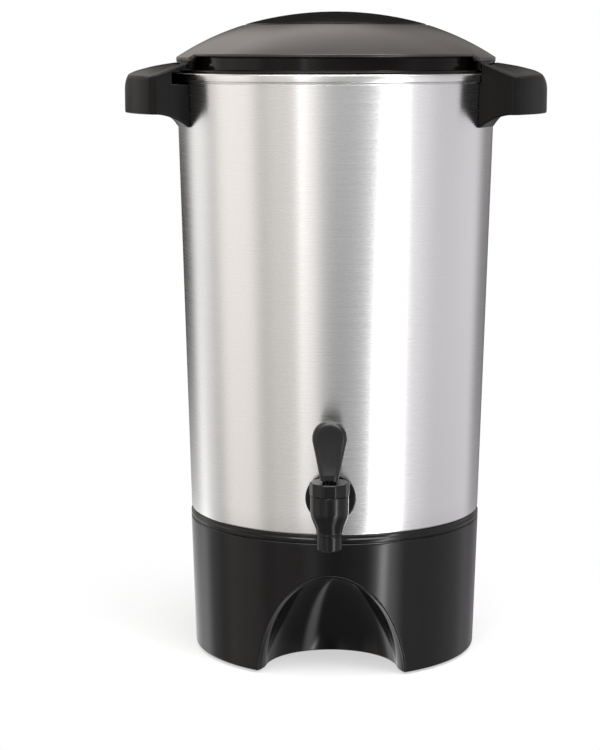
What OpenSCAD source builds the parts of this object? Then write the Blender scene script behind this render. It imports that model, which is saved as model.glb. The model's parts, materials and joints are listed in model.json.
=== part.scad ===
// Electric coffee percolator urn: a tapered brushed tank on a black base with a cup niche,
// two side handles, a twist-lock lid, a lever spigot, and the pump and heating parts inside.
// Millimetres. The origin is on the table under the tank axis, +Z is up, the spigot faces -Y.

/* [Tank] */
// Outside radius of the tank just under the rim
tank_top_r = 100; // [95:0.5:110]
// Outside radius of the tank at its foot
tank_bottom_r = 92.6; // [88:0.2:97]
// Height of the tank from its floor to the top of the rim
tank_h = 277; // [250:1:310]
// Thickness of the tank's sheet
tank_wall = 1.2; // [0.8:0.1:1.8]
// Outside radius of the corner between the floor and the wall
tank_corner_r = 3.5; // [2.5:0.5:6]
// Radius of the rolled bead at the rim
rim_bead_r = 2.4; // [2:0.1:3]
// How far the bead stands out of the wall
rim_proud = 1; // [0.6:0.1:1.6]

/* [Base] */
// Height of the skirt's top face above the table
base_h = 86.5; // [80:0.5:100]
// How far the skirt's top stands out past the tank's foot
base_proud = 0.3; // [0:0.1:2]
// How much the skirt's radius shrinks from its top to its bottom
base_draft = 2.5; // [0.5:0.1:5]
// Thickness of the skirt's wall
base_wall = 3; // [2.4:0.1:4]
// Gap between the skirt's bottom edge and the table
base_gap = 1.2; // [0.8:0.1:2]
// Radius of the rounded bottom edge
base_edge_r = 1.6; // [0.8:0.1:1.7]
// Height of the collar between the skirt and the tank
collar_h = 5; // [3:0.5:8]
// How far the collar stands out of the skirt
collar_proud = 0.4; // [0:0.1:1]
// Thickness of the bottom cover
cover_t = 2.5; // [2:0.1:3.5]
// Height of the rubber feet
foot_h = 4.5; // [4:0.5:7]
// Radius of the rubber feet
foot_r = 7; // [5:0.5:8]

/* [Cup niche] */
// Distance of the niche's axis behind the front of the skirt
niche_set_back = 19.4; // [15:0.2:23]
// Inside radius of the niche on the table
niche_r = 41.3; // [36:0.1:44]
// Gap between the niche's roof and the heat shield
niche_roof_gap = 1.9; // [1:0.1:10]
// Thickness of the niche's wall
niche_wall = 2.6; // [2:0.1:3]
// Distance of the flared mouth's axis in front of the skirt
flare_out = 14.6; // [12:0.2:18]
// Radius of the flared mouth on the table
flare_r = 53.5; // [50:0.5:56]
// Power of the curve that the niche's side follows
niche_power = 1.6; // [1.4:0.1:2]

/* [Handles] */
// Length of the handles from the tank wall to their outer ends
handle_length = 33; // [30:0.5:42]
// Distance from the tank wall to the place where the handles' top starts to fall faster
handle_bend = 15; // [14:0.5:18]
// Height of the handles' top over the rim, at the tank
handle_top = 6.8; // [6.2:0.1:8]
// Height of the handles' top over the rim, where it starts to fall faster
handle_bend_top = 4.5; // [3.5:0.1:6]
// Distance from the tank wall to the corner where a handle's side turns into its end
handle_corner = 10; // [8:0.5:12]
// Depth of that corner's upper end under the rim
handle_corner_drop = 2; // [1:0.1:4]
// Radius of the crown across the handles' top
handle_crown_r = 240; // [180:5:300]
// Radius of the round at the outer end's top
handle_round_r = 10; // [7:0.5:12]
// Height of the handles' underside under the rim
handle_drop = 24.7; // [22:0.1:30]
// Radius of the hollow between a handle's underside and the tank
handle_fillet_r = 9; // [7:0.2:11]
// Half width of a handle where it meets the tank
handle_root_half = 47; // [44:0.5:50]
// Thickness of the handles' walls around the finger pocket
handle_wall = 3; // [2:0.2:3.6]
// Radius of the handle screws
handle_screw_r = 2; // [1.5:0.1:2.5]

/* [Lid] */
// How far the dome's edge stays inside the tank's outside radius
dome_inset = 3; // [2.5:0.1:5]
// Rise of the dome from its edge to the cap's seat
dome_rise = 17.8; // [14:0.2:22]
// Radius of the arc that the dome follows
dome_arc_r = 170; // [140:5:220]
// Thickness of the dome
dome_wall = 2.4; // [1.8:0.1:3]
// Height of the dome's edge over the rim
dome_edge = 11.7; // [11:0.1:14]
// Half angle of each ear over the handles
ear_half_angle = 28; // [20:1:34]
// Half angle of each locking lug
lug_half_angle = 8; // [5:1:10]
// Thickness of the locking lugs
lug_t = 1.8; // [1.6:0.1:2]
// How far the locking lugs reach out past the tank's outside radius
lug_out = 4.5; // [3.5:0.5:5]
// Radius of the cap in the middle of the lid
cap_r = 56.5; // [50:0.5:60]
// Height of the cap's crown over its own edge
cap_rise = 7.8; // [5:0.2:10]
// Distance of the lid's seat wall inside the tank's outside radius
upstand_inset = 9; // [8:0.5:12]

/* [Spigot] */
// Height of the spigot's shank over the tank's underside
spigot_over_floor = 24.5; // [22:0.5:34]
// Distance of the spigot's valve axis from the tank wall
spigot_reach = 27.8; // [25:0.2:34]
// Outside radius of the valve body
valve_r = 11.4; // [10.8:0.1:12]
// Radius of the flange against the tank
flange_r = 15.3; // [14:0.1:18]
// Radius of the shank through the tank wall
shank_r = 7; // [6:0.1:7.4]
// Outside radius of the nozzle
nozzle_r = 7.6; // [6.8:0.1:8.5]
// Radius of the nozzle's bore
outlet_r = 4.6; // [3.8:0.1:5.2]
// Radius across the corners of the bonnet
bonnet_r = 12; // [11.6:0.1:13]
// Height of the bonnet
bonnet_h = 8; // [7.5:0.5:10]
// Radius of the valve stem
stem_r = 3; // [2.6:0.1:3.4]
// Height of the lever over the bonnet
lever_h = 36.5; // [32:0.5:45]
// Radius of the lever's round head
lever_head_r = 10.3; // [8.5:0.1:12]
// Half width of the lever at its foot
lever_foot_half = 5.5; // [5:0.1:7]
// Thickness of the lever's head
lever_t = 9; // [7:0.5:11]
// Radius of the lever's pivot pin
pin_r = 1.3; // [1:0.1:1.6]
// Height of the pivot pin over the bonnet
pin_over_bonnet = 7; // [6.5:0.5:9]
// Lift of the valve for each radian of the lever's tilt
cam_lift = 4; // [3:0.5:4.5]
// Largest tilt of the lever
lever_tilt = 40; // [25:1:42]

/* [Pump and basket] */
// Inside radius of the heating well
well_r = 23.3; // [20:0.1:25]
// Depth of the heating well under the tank's floor
well_depth = 15.5; // [13:0.5:18]
// Outside radius of the pump stem's tube
pump_r = 4.5; // [3.5:0.1:6]
// Height of the pump stem's top under the rim
pump_drop = 16; // [12:1:24]
// Radius of the coffee basket
basket_r = 75; // [60:0.5:80]
// Height of the coffee basket
basket_h = 66; // [50:1:80]
// Height of the basket's rim under the tank's rim
basket_drop = 34; // [30:1:44]
// Thickness of the basket's sheet
basket_wall = 1; // [0.8:0.1:1.4]
// Radius of the holes in the basket and in its lid
sieve_r = 1.6; // [1:0.1:2]

/* [Hidden] */
$fn = 96;

// Clearance between pieces that move past each other
run_gap = 0.3;
// Clearance of a hole around a fixed screw or tube
hole_gap = 0.3;
// Radial clearance of a pin or a stem that turns or slides in its bore
pin_gap = 0.05;
// Length that a cutting shape runs past the face it cuts
over = 1;

// Heights of the tank, from its underside to its rim
tank_z = base_h + collar_h;
floor_z = tank_z + tank_wall;
rim_z = tank_z + tank_h;
bead_z = rim_z - rim_bead_r;
wall_top_z = rim_z - 2 * rim_bead_r;
corner_z = tank_z + tank_corner_r;
bead_r = tank_top_r + rim_proud - rim_bead_r;
rim_r = tank_top_r + rim_proud;
base_top_r = tank_bottom_r + base_proud;
base_bottom_r = base_top_r - base_draft;

// Outside radius of the tank's wall at a height
tank_taper = (tank_top_r - tank_bottom_r) / (wall_top_z - corner_z);
function tank_r(z) = tank_bottom_r + (z - corner_z) * tank_taper;

// Outside radius of the skirt's wall at a height
function skirt_r(z) = base_top_r - (base_h - z) * base_draft / (base_h - base_gap);

// Points along an arc of a circle, both ends included
function arc(c, r, from, to, steps = 8) =
    [for (i = [0:steps]) let (a = from + (to - from) * i / steps) [c[0] + r * cos(a), c[1] + r * sin(a)]];

// A plain ring on the tank axis
module ring(r_out, r_in, z, h) {
    translate([0, 0, z]) difference() {
        cylinder(h = h, r = r_out);
        translate([0, 0, -over]) cylinder(h = h + 2 * over, r = r_in);
    }
}

// A rod that lies along Y
module rod_y(r, from, to, x = 0, z = 0) {
    translate([x, from, z]) rotate([-90, 0, 0]) cylinder(h = to - from, r = r);
}

// A rod that lies along X
module rod_x(r, from, to, y = 0, z = 0) {
    translate([from, y, z]) rotate([0, 90, 0]) cylinder(h = to - from, r = r);
}

// The tank as a plain cone, as large as its outside or smaller by a skin
module tank_cone(skin = 0) {
    top_z = rim_z + 4 * handle_top;
    translate([0, 0, tank_z])
        cylinder(h = top_z - tank_z, r1 = tank_r(tank_z) - skin, r2 = tank_r(top_z) - skin, $fn = 1440);
}

// Hexagon nut on the Z axis
module hex_nut(flats, bore, z, h) {
    translate([0, 0, z]) difference() {
        cylinder(h = h, r = flats / sqrt(3), $fn = 6);
        translate([0, 0, -over]) cylinder(h = h + 2 * over, r = bore);
    }
}

// Tank: floor, tapered wall and rolled rim, with holes for the well, the spigot and the handle screws
module tank() {
    corner = [tank_bottom_r - tank_corner_r, corner_z];
    color("silver") difference() {
        rotate_extrude() union() {
            polygon(concat(
                [[0, tank_z]],
                arc(corner, tank_corner_r, -90, 0),
                [[tank_top_r, wall_top_z], [tank_top_r, bead_z], [tank_top_r - tank_wall, bead_z],
                 [tank_top_r - tank_wall, wall_top_z]],
                arc(corner, tank_corner_r - tank_wall, 0, -90),
                [[0, floor_z]]));
            translate([bead_r, bead_z]) circle(r = rim_bead_r);
        }
        translate([0, 0, tank_z - over]) cylinder(h = tank_wall + 2 * over, r = well_hole_r);
        rod_y(shank_r + hole_gap, -tank_top_r - over, -tank_bottom_r / 2, 0, spigot_z);
        at_handle_screws() rod_x(handle_screw_r + hole_gap, handle_in_x, handle_reach);
    }
}

// Heating well in the middle of the floor, with a flange inside and a threaded boss below
well_wall = 1.2;
well_tube_r = well_r + well_wall;
well_hole_r = well_tube_r + hole_gap;
well_flange_w = 8.5;
well_flange_r = well_tube_r + well_flange_w;
well_flange_t = 1.2;
well_gasket_t = 1;
well_flange_z = floor_z + well_gasket_t;
well_bottom_z = tank_z - well_depth;
well_bottom_t = 2;
well_under_z = well_bottom_z - well_bottom_t;
boss_r = 8;
boss_h = 2.5;
boss_thread_r = 6;
shield_t = 1;
shield_top_z = well_under_z - boss_h;
shield_z = shield_top_z - shield_t;
shield_nut_h = 4;
boss_past_nut = 3;
boss_end_z = shield_z - shield_nut_h - boss_past_nut;
rod_r = 3;
module heating_well() {
    flange_top_z = well_flange_z + well_flange_t;
    color("gainsboro") difference() {
        rotate_extrude() polygon([
            [0, boss_end_z], [boss_thread_r, boss_end_z], [boss_thread_r, shield_top_z],
            [boss_r, shield_top_z], [boss_r, well_under_z], [well_tube_r, well_under_z],
            [well_tube_r, well_flange_z], [well_flange_r, well_flange_z], [well_flange_r, flange_top_z],
            [well_r, flange_top_z], [well_r, well_bottom_z], [0, well_bottom_z]]);
        translate([0, 0, boss_end_z - over]) cylinder(h = well_under_z - boss_end_z + over, r = rod_r);
    }
}

module well_gasket() {
    color("firebrick") ring(well_flange_r, well_hole_r, floor_z, well_gasket_t);
}

// Threaded ring that pulls the well down against the floor
well_ring_r = well_flange_r + 1;
well_ring_h = 4.5;
module well_ring() {
    color("darkgray") ring(well_ring_r, well_tube_r, tank_z - well_ring_h, well_ring_h);
}

// Band heater around the well
pump_heater_t = 5;
pump_heater_r = well_tube_r + pump_heater_t;
module pump_heater() {
    edge = 1.5;
    top_z = tank_z - well_ring_h - 1;
    color("dimgray") rotate_extrude() polygon([
        [well_tube_r, well_under_z], [pump_heater_r - edge, well_under_z],
        [pump_heater_r, well_under_z + edge],
        [pump_heater_r, top_z - edge], [pump_heater_r - edge, top_z], [well_tube_r, top_z]]);
}

// Tubular keep-warm element against the underside of the floor
warming_spread = 25;
warming_r = well_flange_r + warming_spread;
warming_tube_r = 3.3;
module warming_heater() {
    color("dimgray") translate([0, 0, tank_z - warming_tube_r - pin_gap]) rotate_extrude()
        translate([warming_r, 0]) circle(r = warming_tube_r);
}

// Disc thermostat between the well and the element
thermostat_r = 8.5;
thermostat_h = 8;
thermostat_y = (well_ring_r + warming_r - warming_tube_r) / 2;
module thermostat() {
    cap_t = 2.5;
    color("black") translate([0, thermostat_y, tank_z - thermostat_h]) union() {
        cylinder(h = thermostat_h - cap_t, r = thermostat_r - 1);
        translate([0, 0, thermostat_h - cap_t]) cylinder(h = cap_t, r = thermostat_r);
    }
}

// Thermal fuse under its clip, on another side of the well
module thermal_fuse() {
    fuse_r = 2.2;
    length = 22;
    clip_w = 6;
    clip_half = fuse_r + 1;
    seat = fuse_r + pin_gap;
    color("tan") translate([-thermostat_y, 0, tank_z - seat]) union() {
        rod_y(fuse_r, -length / 2, length / 2);
        translate([-clip_half, -clip_w / 2, 0]) cube([2 * clip_half, clip_w, seat]);
    }
}

// Heat shield over the plastic of the base, held on the well's boss by a thin nut
wire_r = 2;
wire_gap = 4;
wire_y = warming_r + warming_tube_r + wire_gap;
module heat_shield() {
    margin = 14;
    shield_r = wire_y + margin;
    lip_h = 4;
    color("lightgray") difference() {
        union() {
            ring(shield_r, boss_thread_r, shield_z, shield_t);
            ring(shield_r, shield_r - shield_t, shield_z, lip_h);
        }
        translate([0, wire_y, shield_z - over]) cylinder(h = shield_t + 2 * over, r = wire_r + hole_gap);
    }
}

module shield_nut() {
    flats = 2 * boss_thread_r + 7;
    color("darkgray") hex_nut(flats, boss_thread_r, shield_z - shield_nut_h, shield_nut_h);
}

// Centre rod and nut that clamp the cover, the skirt, the collar and the tank together
cover_z = foot_h;
cover_top_z = cover_z + cover_t;
nut_h = 3;
nut_flats = 10;
rod_past_nut = 0.5;
rod_end_z = cover_z - nut_h - rod_past_nut;
module clamp_rod() {
    color("darkgray") translate([0, 0, rod_end_z]) cylinder(h = well_under_z - rod_end_z, r = rod_r);
}

module clamp_nut() {
    color("darkgray") hex_nut(nut_flats, rod_r, cover_z - nut_h, nut_h);
}

// Collar that the tank stands on, with a fine groove over the skirt and a rounded top edge
collar_r = base_top_r + collar_proud;
collar_w = 14;
collar_in_r = base_top_r - collar_w;
module base_collar() {
    round_r = 1.4;
    groove = 0.7;
    color("#1c1c1e") rotate_extrude() polygon(concat(
        [[collar_in_r, base_h], [collar_r - collar_proud - groove, base_h],
         [collar_r - collar_proud - groove, base_h + groove], [collar_r, base_h + groove]],
        arc([collar_r - round_r, tank_z - round_r], round_r, 0, 90, 4),
        [[collar_in_r, tank_z]]));
}

// Cup niche: a bell-shaped hollow about its own axis, and a wider bell that flares its mouth
niche_y = base_bottom_r - niche_set_back;
niche_h = shield_z - niche_wall - niche_roof_gap;
flare_y = base_bottom_r + flare_out;
flare_over = 2.5;
flare_h = niche_h + flare_over;

// Radius of such a bell at a height
function bell_r(r, h, z) = r * sqrt(max(0, 1 - pow(z / h, niche_power)));

// A bell that stands on the table, in front of the tank axis, with a wall around it or bare
module bell(y, r, h, wall) {
    steps = 20;
    deep = 2;
    top = h + wall;
    translate([0, -y, 0]) rotate_extrude() polygon(concat(
        [[0, -deep], [r + wall, -deep]],
        [for (i = [0:steps - 1]) let (z = top * sin(90 * i / steps)) [bell_r(r + wall, top, z), z]],
        [[0, top]]));
}

module niche(wall = 0) {
    bell(niche_y, niche_r, niche_h, wall);
    bell(flare_y, flare_r, flare_h, wall);
}

// The skirt's outside as a solid
module skirt_solid() {
    rotate_extrude() polygon(concat(
        [[0, base_gap]],
        arc([base_bottom_r - base_edge_r, base_gap + base_edge_r], base_edge_r, -90, 0, 5),
        [[base_top_r, base_h], [0, base_h]]));
}

// The room inside the skirt, with the rebate that the bottom cover seats in
rebate = 1.2;
top_flange_t = 3;
module skirt_room() {
    roof_z = base_h - top_flange_t;
    rotate_extrude() polygon([
        [0, 0], [skirt_r(0) - base_wall + rebate, 0],
        [skirt_r(cover_top_z) - base_wall + rebate, cover_top_z],
        [skirt_r(cover_top_z) - base_wall, cover_top_z], [skirt_r(roof_z) - base_wall, roof_z],
        [collar_in_r, roof_z], [collar_in_r, base_h + over], [0, base_h + over]]);
}

// Places of the bottom cover's screws and of their bosses inside the skirt
cover_boss_r = 4.5;
cover_boss_h = 14;
cover_screw_r = 1.7;
cover_screw_bite = 10;
module at_cover_screws() {
    sunk = 0.8;
    at_r = skirt_r(cover_top_z) - base_wall - cover_boss_r + sunk;
    for (a = [12, 72, 108, 168]) rotate([0, 0, a]) translate([at_r, 0, 0]) children();
}

// Cord bush in the rear wall
bush_r = 6;
bush_bore_r = 3.4;
bush_z = 24;
bush_inside = 4;
bush_in_y = skirt_r(bush_z) - base_wall - bush_inside;

module base_skirt() {
    color("#161618") difference() {
        union() {
            difference() {
                skirt_solid();
                skirt_room();
            }
            intersection() {
                skirt_solid();
                niche(niche_wall);
            }
            at_cover_screws() translate([0, 0, cover_top_z]) cylinder(h = cover_boss_h, r = cover_boss_r);
        }
        niche();
        at_cover_screws() translate([0, 0, cover_z])
            cylinder(h = cover_t + cover_screw_bite, r = cover_screw_r);
        rod_y(bush_r, 0, 2 * base_top_r, 0, bush_z);
    }
}

module bottom_cover() {
    edge = base_wall - rebate + hole_gap;
    color("#1f1f22") difference() {
        translate([0, 0, cover_z])
            cylinder(h = cover_t, r1 = skirt_r(cover_z) - edge, r2 = skirt_r(cover_top_z) - edge);
        niche(niche_wall + hole_gap);
        translate([0, 0, cover_z - over]) cylinder(h = cover_t + 2 * over, r = rod_r + hole_gap);
        at_cover_screws() translate([0, 0, cover_z - over])
            cylinder(h = cover_t + 2 * over, r = cover_screw_r + hole_gap);
    }
}

module cover_screws() {
    head_r = 3.2;
    head_h = 2;
    color("darkgray") at_cover_screws() union() {
        translate([0, 0, cover_z - head_h]) cylinder(h = head_h, r = head_r);
        translate([0, 0, cover_z]) cylinder(h = cover_t + cover_screw_bite, r = cover_screw_r);
    }
}

module feet() {
    edge = 1;
    inset = 3;
    at_r = base_bottom_r - base_wall - foot_r - inset;
    color("#202022") for (a = [-38, 42, 138, 218]) rotate([0, 0, a]) translate([at_r, 0, 0])
        rotate_extrude() polygon([
            [0, 0], [foot_r - edge, 0], [foot_r, edge], [foot_r, cover_z], [0, cover_z]]);
}

module cord_bush() {
    wall_y = skirt_r(bush_z);
    flange_r = bush_r + 2.5;
    flange_t = 2.2;
    color("#101012") difference() {
        union() {
            rod_y(bush_r, bush_in_y, wall_y + flange_t, 0, bush_z);
            difference() {
                rod_y(flange_r, wall_y - base_wall, wall_y + flange_t, 0, bush_z);
                skirt_solid();
            }
        }
        rod_y(bush_bore_r, 0, 2 * base_top_r, 0, bush_z);
    }
}

// Leads inside the base: from the bush up through the shield to the thermostat, and on to the band heater
module inner_wires() {
    turn_z = shield_top_z + 5;
    thermostat_z = tank_z - thermostat_h;
    short_r = 1.2;
    short_z = thermostat_z + short_r;
    color("#8a3b2c") union() {
        rod_y(wire_r, wire_y, bush_in_y, 0, bush_z);
        translate([0, wire_y, bush_z]) sphere(r = wire_r);
        translate([0, wire_y, bush_z]) cylinder(h = turn_z - bush_z, r = wire_r);
        translate([0, wire_y, turn_z]) sphere(r = wire_r);
        rod_y(wire_r, thermostat_y, wire_y, 0, turn_z);
        translate([0, thermostat_y, turn_z]) sphere(r = wire_r);
        translate([0, thermostat_y, turn_z]) cylinder(h = thermostat_z - turn_z, r = wire_r);
        rod_y(short_r, pump_heater_r + 0.2, thermostat_y - thermostat_r + 0.8, 0, short_z);
    }
}

// Handles: one form, used twice half a turn apart, so each lock slot opens on its own side
handle_reach = tank_top_r + handle_length;
handle_bend_r = tank_top_r + handle_bend;
handle_root_x = sqrt(tank_top_r * tank_top_r - handle_root_half * handle_root_half);
handle_half_angle = asin(handle_root_half / tank_top_r);
handle_corner_x = tank_top_r + handle_corner;
handle_mid_half = handle_corner_x * tan(handle_half_angle);
handle_in_x = tank_bottom_r / 2;
handle_top_z = rim_z + handle_top;
handle_low_z = rim_z - handle_drop;
handle_foot_z = handle_low_z - handle_fillet_r;
handle_bend_z = rim_z + handle_bend_top;
handle_corner_z = rim_z - handle_corner_drop;
handle_round_drop = 2.7;
handle_round_x = handle_reach - handle_round_r;
handle_round_z = handle_bend_z - handle_round_drop - handle_round_r;
handle_round_angle = 75;
handle_end_depth = handle_reach - handle_corner_x;
handle_end_r = (pow(handle_mid_half, 2) + pow(handle_end_depth, 2)) / (2 * handle_end_depth);

// A prism along Y over an outline in X and Z
module across() {
    half = handle_mid_half + over;
    translate([0, half, 0]) rotate([90, 0, 0]) linear_extrude(2 * half) children();
}

// Front outline of the right handle's grip, in X and Z
module grip_front() {
    corner = 2;
    round_end_x = handle_round_x + handle_round_r * cos(handle_round_angle);
    round_end_z = handle_round_z + handle_round_r * sin(handle_round_angle);
    fall = (handle_bend_z - round_end_z) / (round_end_x - handle_bend_r);
    polygon(concat(
        [[handle_in_x, handle_low_z]],
        arc([handle_reach - corner, handle_low_z + corner], corner, -90, 0, 4),
        arc([handle_round_x, handle_round_z], handle_round_r, 0, handle_round_angle),
        [[handle_in_x, handle_bend_z + fall * (handle_bend_r - handle_in_x)]]));
}

// Front outline of the webs that run from the grip up to the lid and down along the tank, in X and Z
module web_front() {
    end_x = (handle_corner_x + handle_reach) / 2;
    hollow_w = 7;
    hollow_x = tank_top_r + hollow_w;
    foot_x = sqrt(pow(tank_r(handle_foot_z), 2) - pow(handle_root_half, 2));
    fall = (handle_top_z - handle_corner_z) / (handle_corner_x - handle_root_x);
    polygon([[handle_in_x, handle_foot_z], [foot_x, handle_foot_z], [hollow_x, handle_low_z],
        [end_x, handle_low_z], [end_x, handle_top_z - fall * (end_x - handle_root_x)],
        [handle_root_x, handle_top_z], [handle_in_x, handle_top_z]]);
}

// Crown over the right handle, which follows the slope of its top, or lies inside it by a skin
module handle_crown(skin = 0) {
    translate([tank_top_r, 0, handle_top_z])
        rotate([0, atan2(handle_top_z - handle_bend_z, handle_bend), 0])
        rod_x(handle_crown_r - skin, -tank_top_r, tank_top_r, 0, -handle_crown_r, $fn = 360);
}

// Plan of the right handle as a solid: sides square to the tank and a round end, or one inside it by a skin
module handle_plan(skin = 0) {
    side = skin / cos(handle_half_angle);
    half = [for (x = [handle_in_x, handle_reach]) [x, x * tan(handle_half_angle) - side]];
    translate([0, 0, handle_foot_z]) intersection() {
        linear_extrude(handle_top_z - handle_foot_z)
            polygon(concat(half, [for (i = [len(half) - 1:-1:0]) [half[i][0], -half[i][1]]]));
        translate([handle_reach - handle_end_r, 0, 0])
            cylinder(h = handle_top_z - handle_foot_z, r = handle_end_r - skin);
    }
}

// Hollow between the right handle's underside and the tank, as the ring of material that it rounds off
module handle_fillet() {
    root_t = 1.2;
    root_r = tank_r(handle_foot_z) + root_t;
    rotate_extrude() polygon(concat(
        [[handle_in_x, handle_foot_z]],
        arc([root_r + handle_fillet_r, handle_foot_z], handle_fillet_r, 180, 90),
        [[root_r + handle_fillet_r, handle_low_z + over], [handle_in_x, handle_low_z + over]]));
}

// Finger pocket in the underside, one wall inside the grip
module handle_pocket() {
    in_r = slot_r + handle_wall;
    end_r = handle_reach - handle_wall;
    roof_z = handle_bend_z - handle_wall;
    intersection() {
        across() polygon(concat(
            [[in_r, handle_foot_z], [end_r, handle_foot_z]],
            arc([handle_round_x, handle_round_z], handle_round_r - handle_wall, 0, handle_round_angle),
            [[min(handle_bend_r, handle_round_x), roof_z], [in_r, roof_z]]));
        handle_plan(handle_wall);
        handle_crown(handle_wall);
    }
}

// Slot that a lug of the lid turns into, closed at one end and deeper at its mouth
lug_z = rim_z + run_gap;
lug_r = tank_top_r + lug_out;
slot_end_gap = 1.5;
slot_r = lug_r + slot_end_gap;
slot_under_rim = 2;
slot_low_z = wall_top_z - slot_under_rim;
slot_top_z = lug_z + lug_t + run_gap;
module slot_sector(start, end, in_r, out_r, low_z, top_z) {
    rotate([0, 0, start]) rotate_extrude(angle = end - start)
        translate([in_r, low_z]) square([out_r - in_r, top_z - low_z]);
}

module lock_slot() {
    stop_gap = 2;
    open_angle = 60;
    mouth_angle = 9;
    mouth_out = 5;
    mouth_drop = 1.8;
    mouth_step = 0.5;
    slot_sector(-lug_half_angle - stop_gap, open_angle, tank_top_r / 2, slot_r, slot_low_z, slot_top_z);
    slot_sector(handle_half_angle - mouth_angle, open_angle + mouth_angle, tank_top_r, slot_r + mouth_out,
        slot_low_z + mouth_step, slot_top_z - mouth_drop);
}

// Places of the handle screws, two in each handle
handle_screw_angle = 10;
handle_screw_over = 3;
handle_screw_bite = 7;
handle_screw_z = handle_low_z + handle_screw_over;
module at_handle_screws() {
    for (side = [0, 180], a = [-handle_screw_angle, handle_screw_angle])
        rotate([0, 0, side + a]) translate([0, 0, handle_screw_z]) children();
}

module handle() {
    rim_gap = 0.2;
    difference() {
        intersection() {
            union() {
                intersection() {
                    across() grip_front();
                    handle_crown();
                }
                across() web_front();
                handle_fillet();
            }
            handle_plan();
        }
        tank_cone();
        translate([0, 0, wall_top_z - rim_gap]) cylinder(h = tank_h, r = rim_r + rim_gap);
        lock_slot();
        handle_pocket();
        at_handle_screws()
            rod_x(handle_screw_r, handle_in_x, tank_r(handle_screw_z) + handle_screw_bite);
    }
}

module right_handle() {
    color("#232325") handle();
}

module left_handle() {
    color("#232325") rotate([0, 0, 180]) handle();
}

// Screws from inside the tank, each over a sealing washer
handle_washer_t = 1.8;
module handle_screws() {
    head_r = 3.8;
    head_h = 2.2;
    seat_r = tank_r(handle_screw_z) - tank_wall - handle_washer_t;
    color("darkgray") at_handle_screws() union() {
        rod_x(head_r, seat_r - head_h, seat_r);
        rod_x(handle_screw_r, seat_r, tank_r(handle_screw_z) + handle_screw_bite);
    }
}

module handle_washers() {
    washer_r = 5.5;
    seat_r = tank_r(handle_screw_z) - tank_wall - handle_washer_t;
    color("firebrick") intersection() {
        tank_cone(tank_wall);
        at_handle_screws() difference() {
            rod_x(washer_r, seat_r, tank_top_r);
            rod_x(handle_screw_r, seat_r - over, tank_top_r + over);
        }
    }
}

// Spigot, from the tank wall out: inner nut, washers, flange, valve body, bonnet and lever
spigot_z = tank_z + spigot_over_floor;
wall_y = tank_r(spigot_z);
valve_y = wall_y + spigot_reach;
gasket_t = 2.4;
flange_t = 2.6;
inner_washer_t = 2.4;
shank_bore_r = 4.5;
shank_inside = 18;
valve_bore_r = 8;
valve_neck_r = 9;
valve_neck_h = 6;
valve_half_h = 7;
valve_top_z = spigot_z + valve_half_h;
seat_drop = 10.5;
seat_z = spigot_z - seat_drop;
seat_rise = 2.5;
nozzle_drop = 26;
nozzle_end_z = spigot_z - nozzle_drop;
bonnet_top_z = valve_top_z + bonnet_h;
pin_z = bonnet_top_z + pin_over_bonnet;

module on_valve_axis() {
    translate([0, -valve_y, 0]) children();
}

module spigot_body() {
    straight_drop = 3;
    funnel_drop = 16.5;
    straight_z = spigot_z - straight_drop;
    funnel_z = spigot_z - funnel_drop;
    steps = 6;
    funnel = [for (i = [0:steps])
        [nozzle_r + (valve_r - nozzle_r) * (1 - cos(180 * i / steps)) / 2,
            funnel_z + (straight_z - funnel_z) * i / steps]];
    arm_r = shank_r + 0.8;
    neck_z = valve_top_z + valve_neck_h;
    color("#0e0e10") difference() {
        union() {
            on_valve_axis() rotate_extrude() polygon(concat(
                [[0, nozzle_end_z], [nozzle_r, nozzle_end_z]], funnel,
                [[valve_r, valve_top_z], [valve_neck_r, valve_top_z]],
                [[valve_neck_r, neck_z], [0, neck_z]]));
            difference() {
                rod_y(arm_r, -valve_y, -wall_y - gasket_t, 0, spigot_z);
                on_valve_axis() translate([0, 0, valve_top_z])
                    cylinder(h = bonnet_h, r = bonnet_r + run_gap);
            }
            rod_y(flange_r, -wall_y - gasket_t - flange_t, -wall_y - gasket_t, 0, spigot_z);
            rod_y(shank_r, -wall_y - gasket_t, -wall_y + shank_inside, 0, spigot_z);
        }
        on_valve_axis() rotate_extrude() polygon([
            [0, nozzle_end_z - over], [outlet_r, nozzle_end_z - over], [outlet_r, seat_z],
            [valve_bore_r, seat_z + seat_rise], [valve_bore_r, neck_z + over], [0, neck_z + over]]);
        rod_y(shank_bore_r, -valve_y, -wall_y / 2, 0, spigot_z);
    }
}

// Soft ring between the flange and the tank's curved wall
module spigot_gasket() {
    inset = 1.8;
    color("#151515") difference() {
        rod_y(flange_r - inset, -wall_y - gasket_t, -wall_y + gasket_t, 0, spigot_z);
        tank_cone();
        rod_y(shank_r, -valve_y, 0, 0, spigot_z);
    }
}

// Washer and nut on the shank inside the tank
washer_face_y = -wall_y + tank_wall + inner_washer_t;
module spigot_inner_washer() {
    washer_r = shank_r + 5;
    color("firebrick") difference() {
        intersection() {
            rod_y(washer_r, -valve_y, washer_face_y, 0, spigot_z);
            tank_cone(tank_wall);
        }
        rod_y(shank_r, -valve_y, 0, 0, spigot_z);
    }
}

module shank_nut() {
    flats = 3 * shank_r;
    nut_t = 6;
    color("#2a2a2c") translate([0, washer_face_y, spigot_z]) rotate([-90, 0, 0])
        hex_nut(flats, shank_r, 0, nut_t);
}

// Faceted cap that screws over the valve body's neck and guides the stem
module spigot_bonnet() {
    color("#0e0e10") on_valve_axis() difference() {
        translate([0, 0, valve_top_z]) cylinder(h = bonnet_h, r = bonnet_r, $fn = 10);
        translate([0, 0, valve_top_z - over]) cylinder(h = valve_neck_h + over, r = valve_neck_r);
        translate([0, 0, valve_top_z]) cylinder(h = bonnet_h + over, r = stem_r + pin_gap);
    }
}

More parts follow.
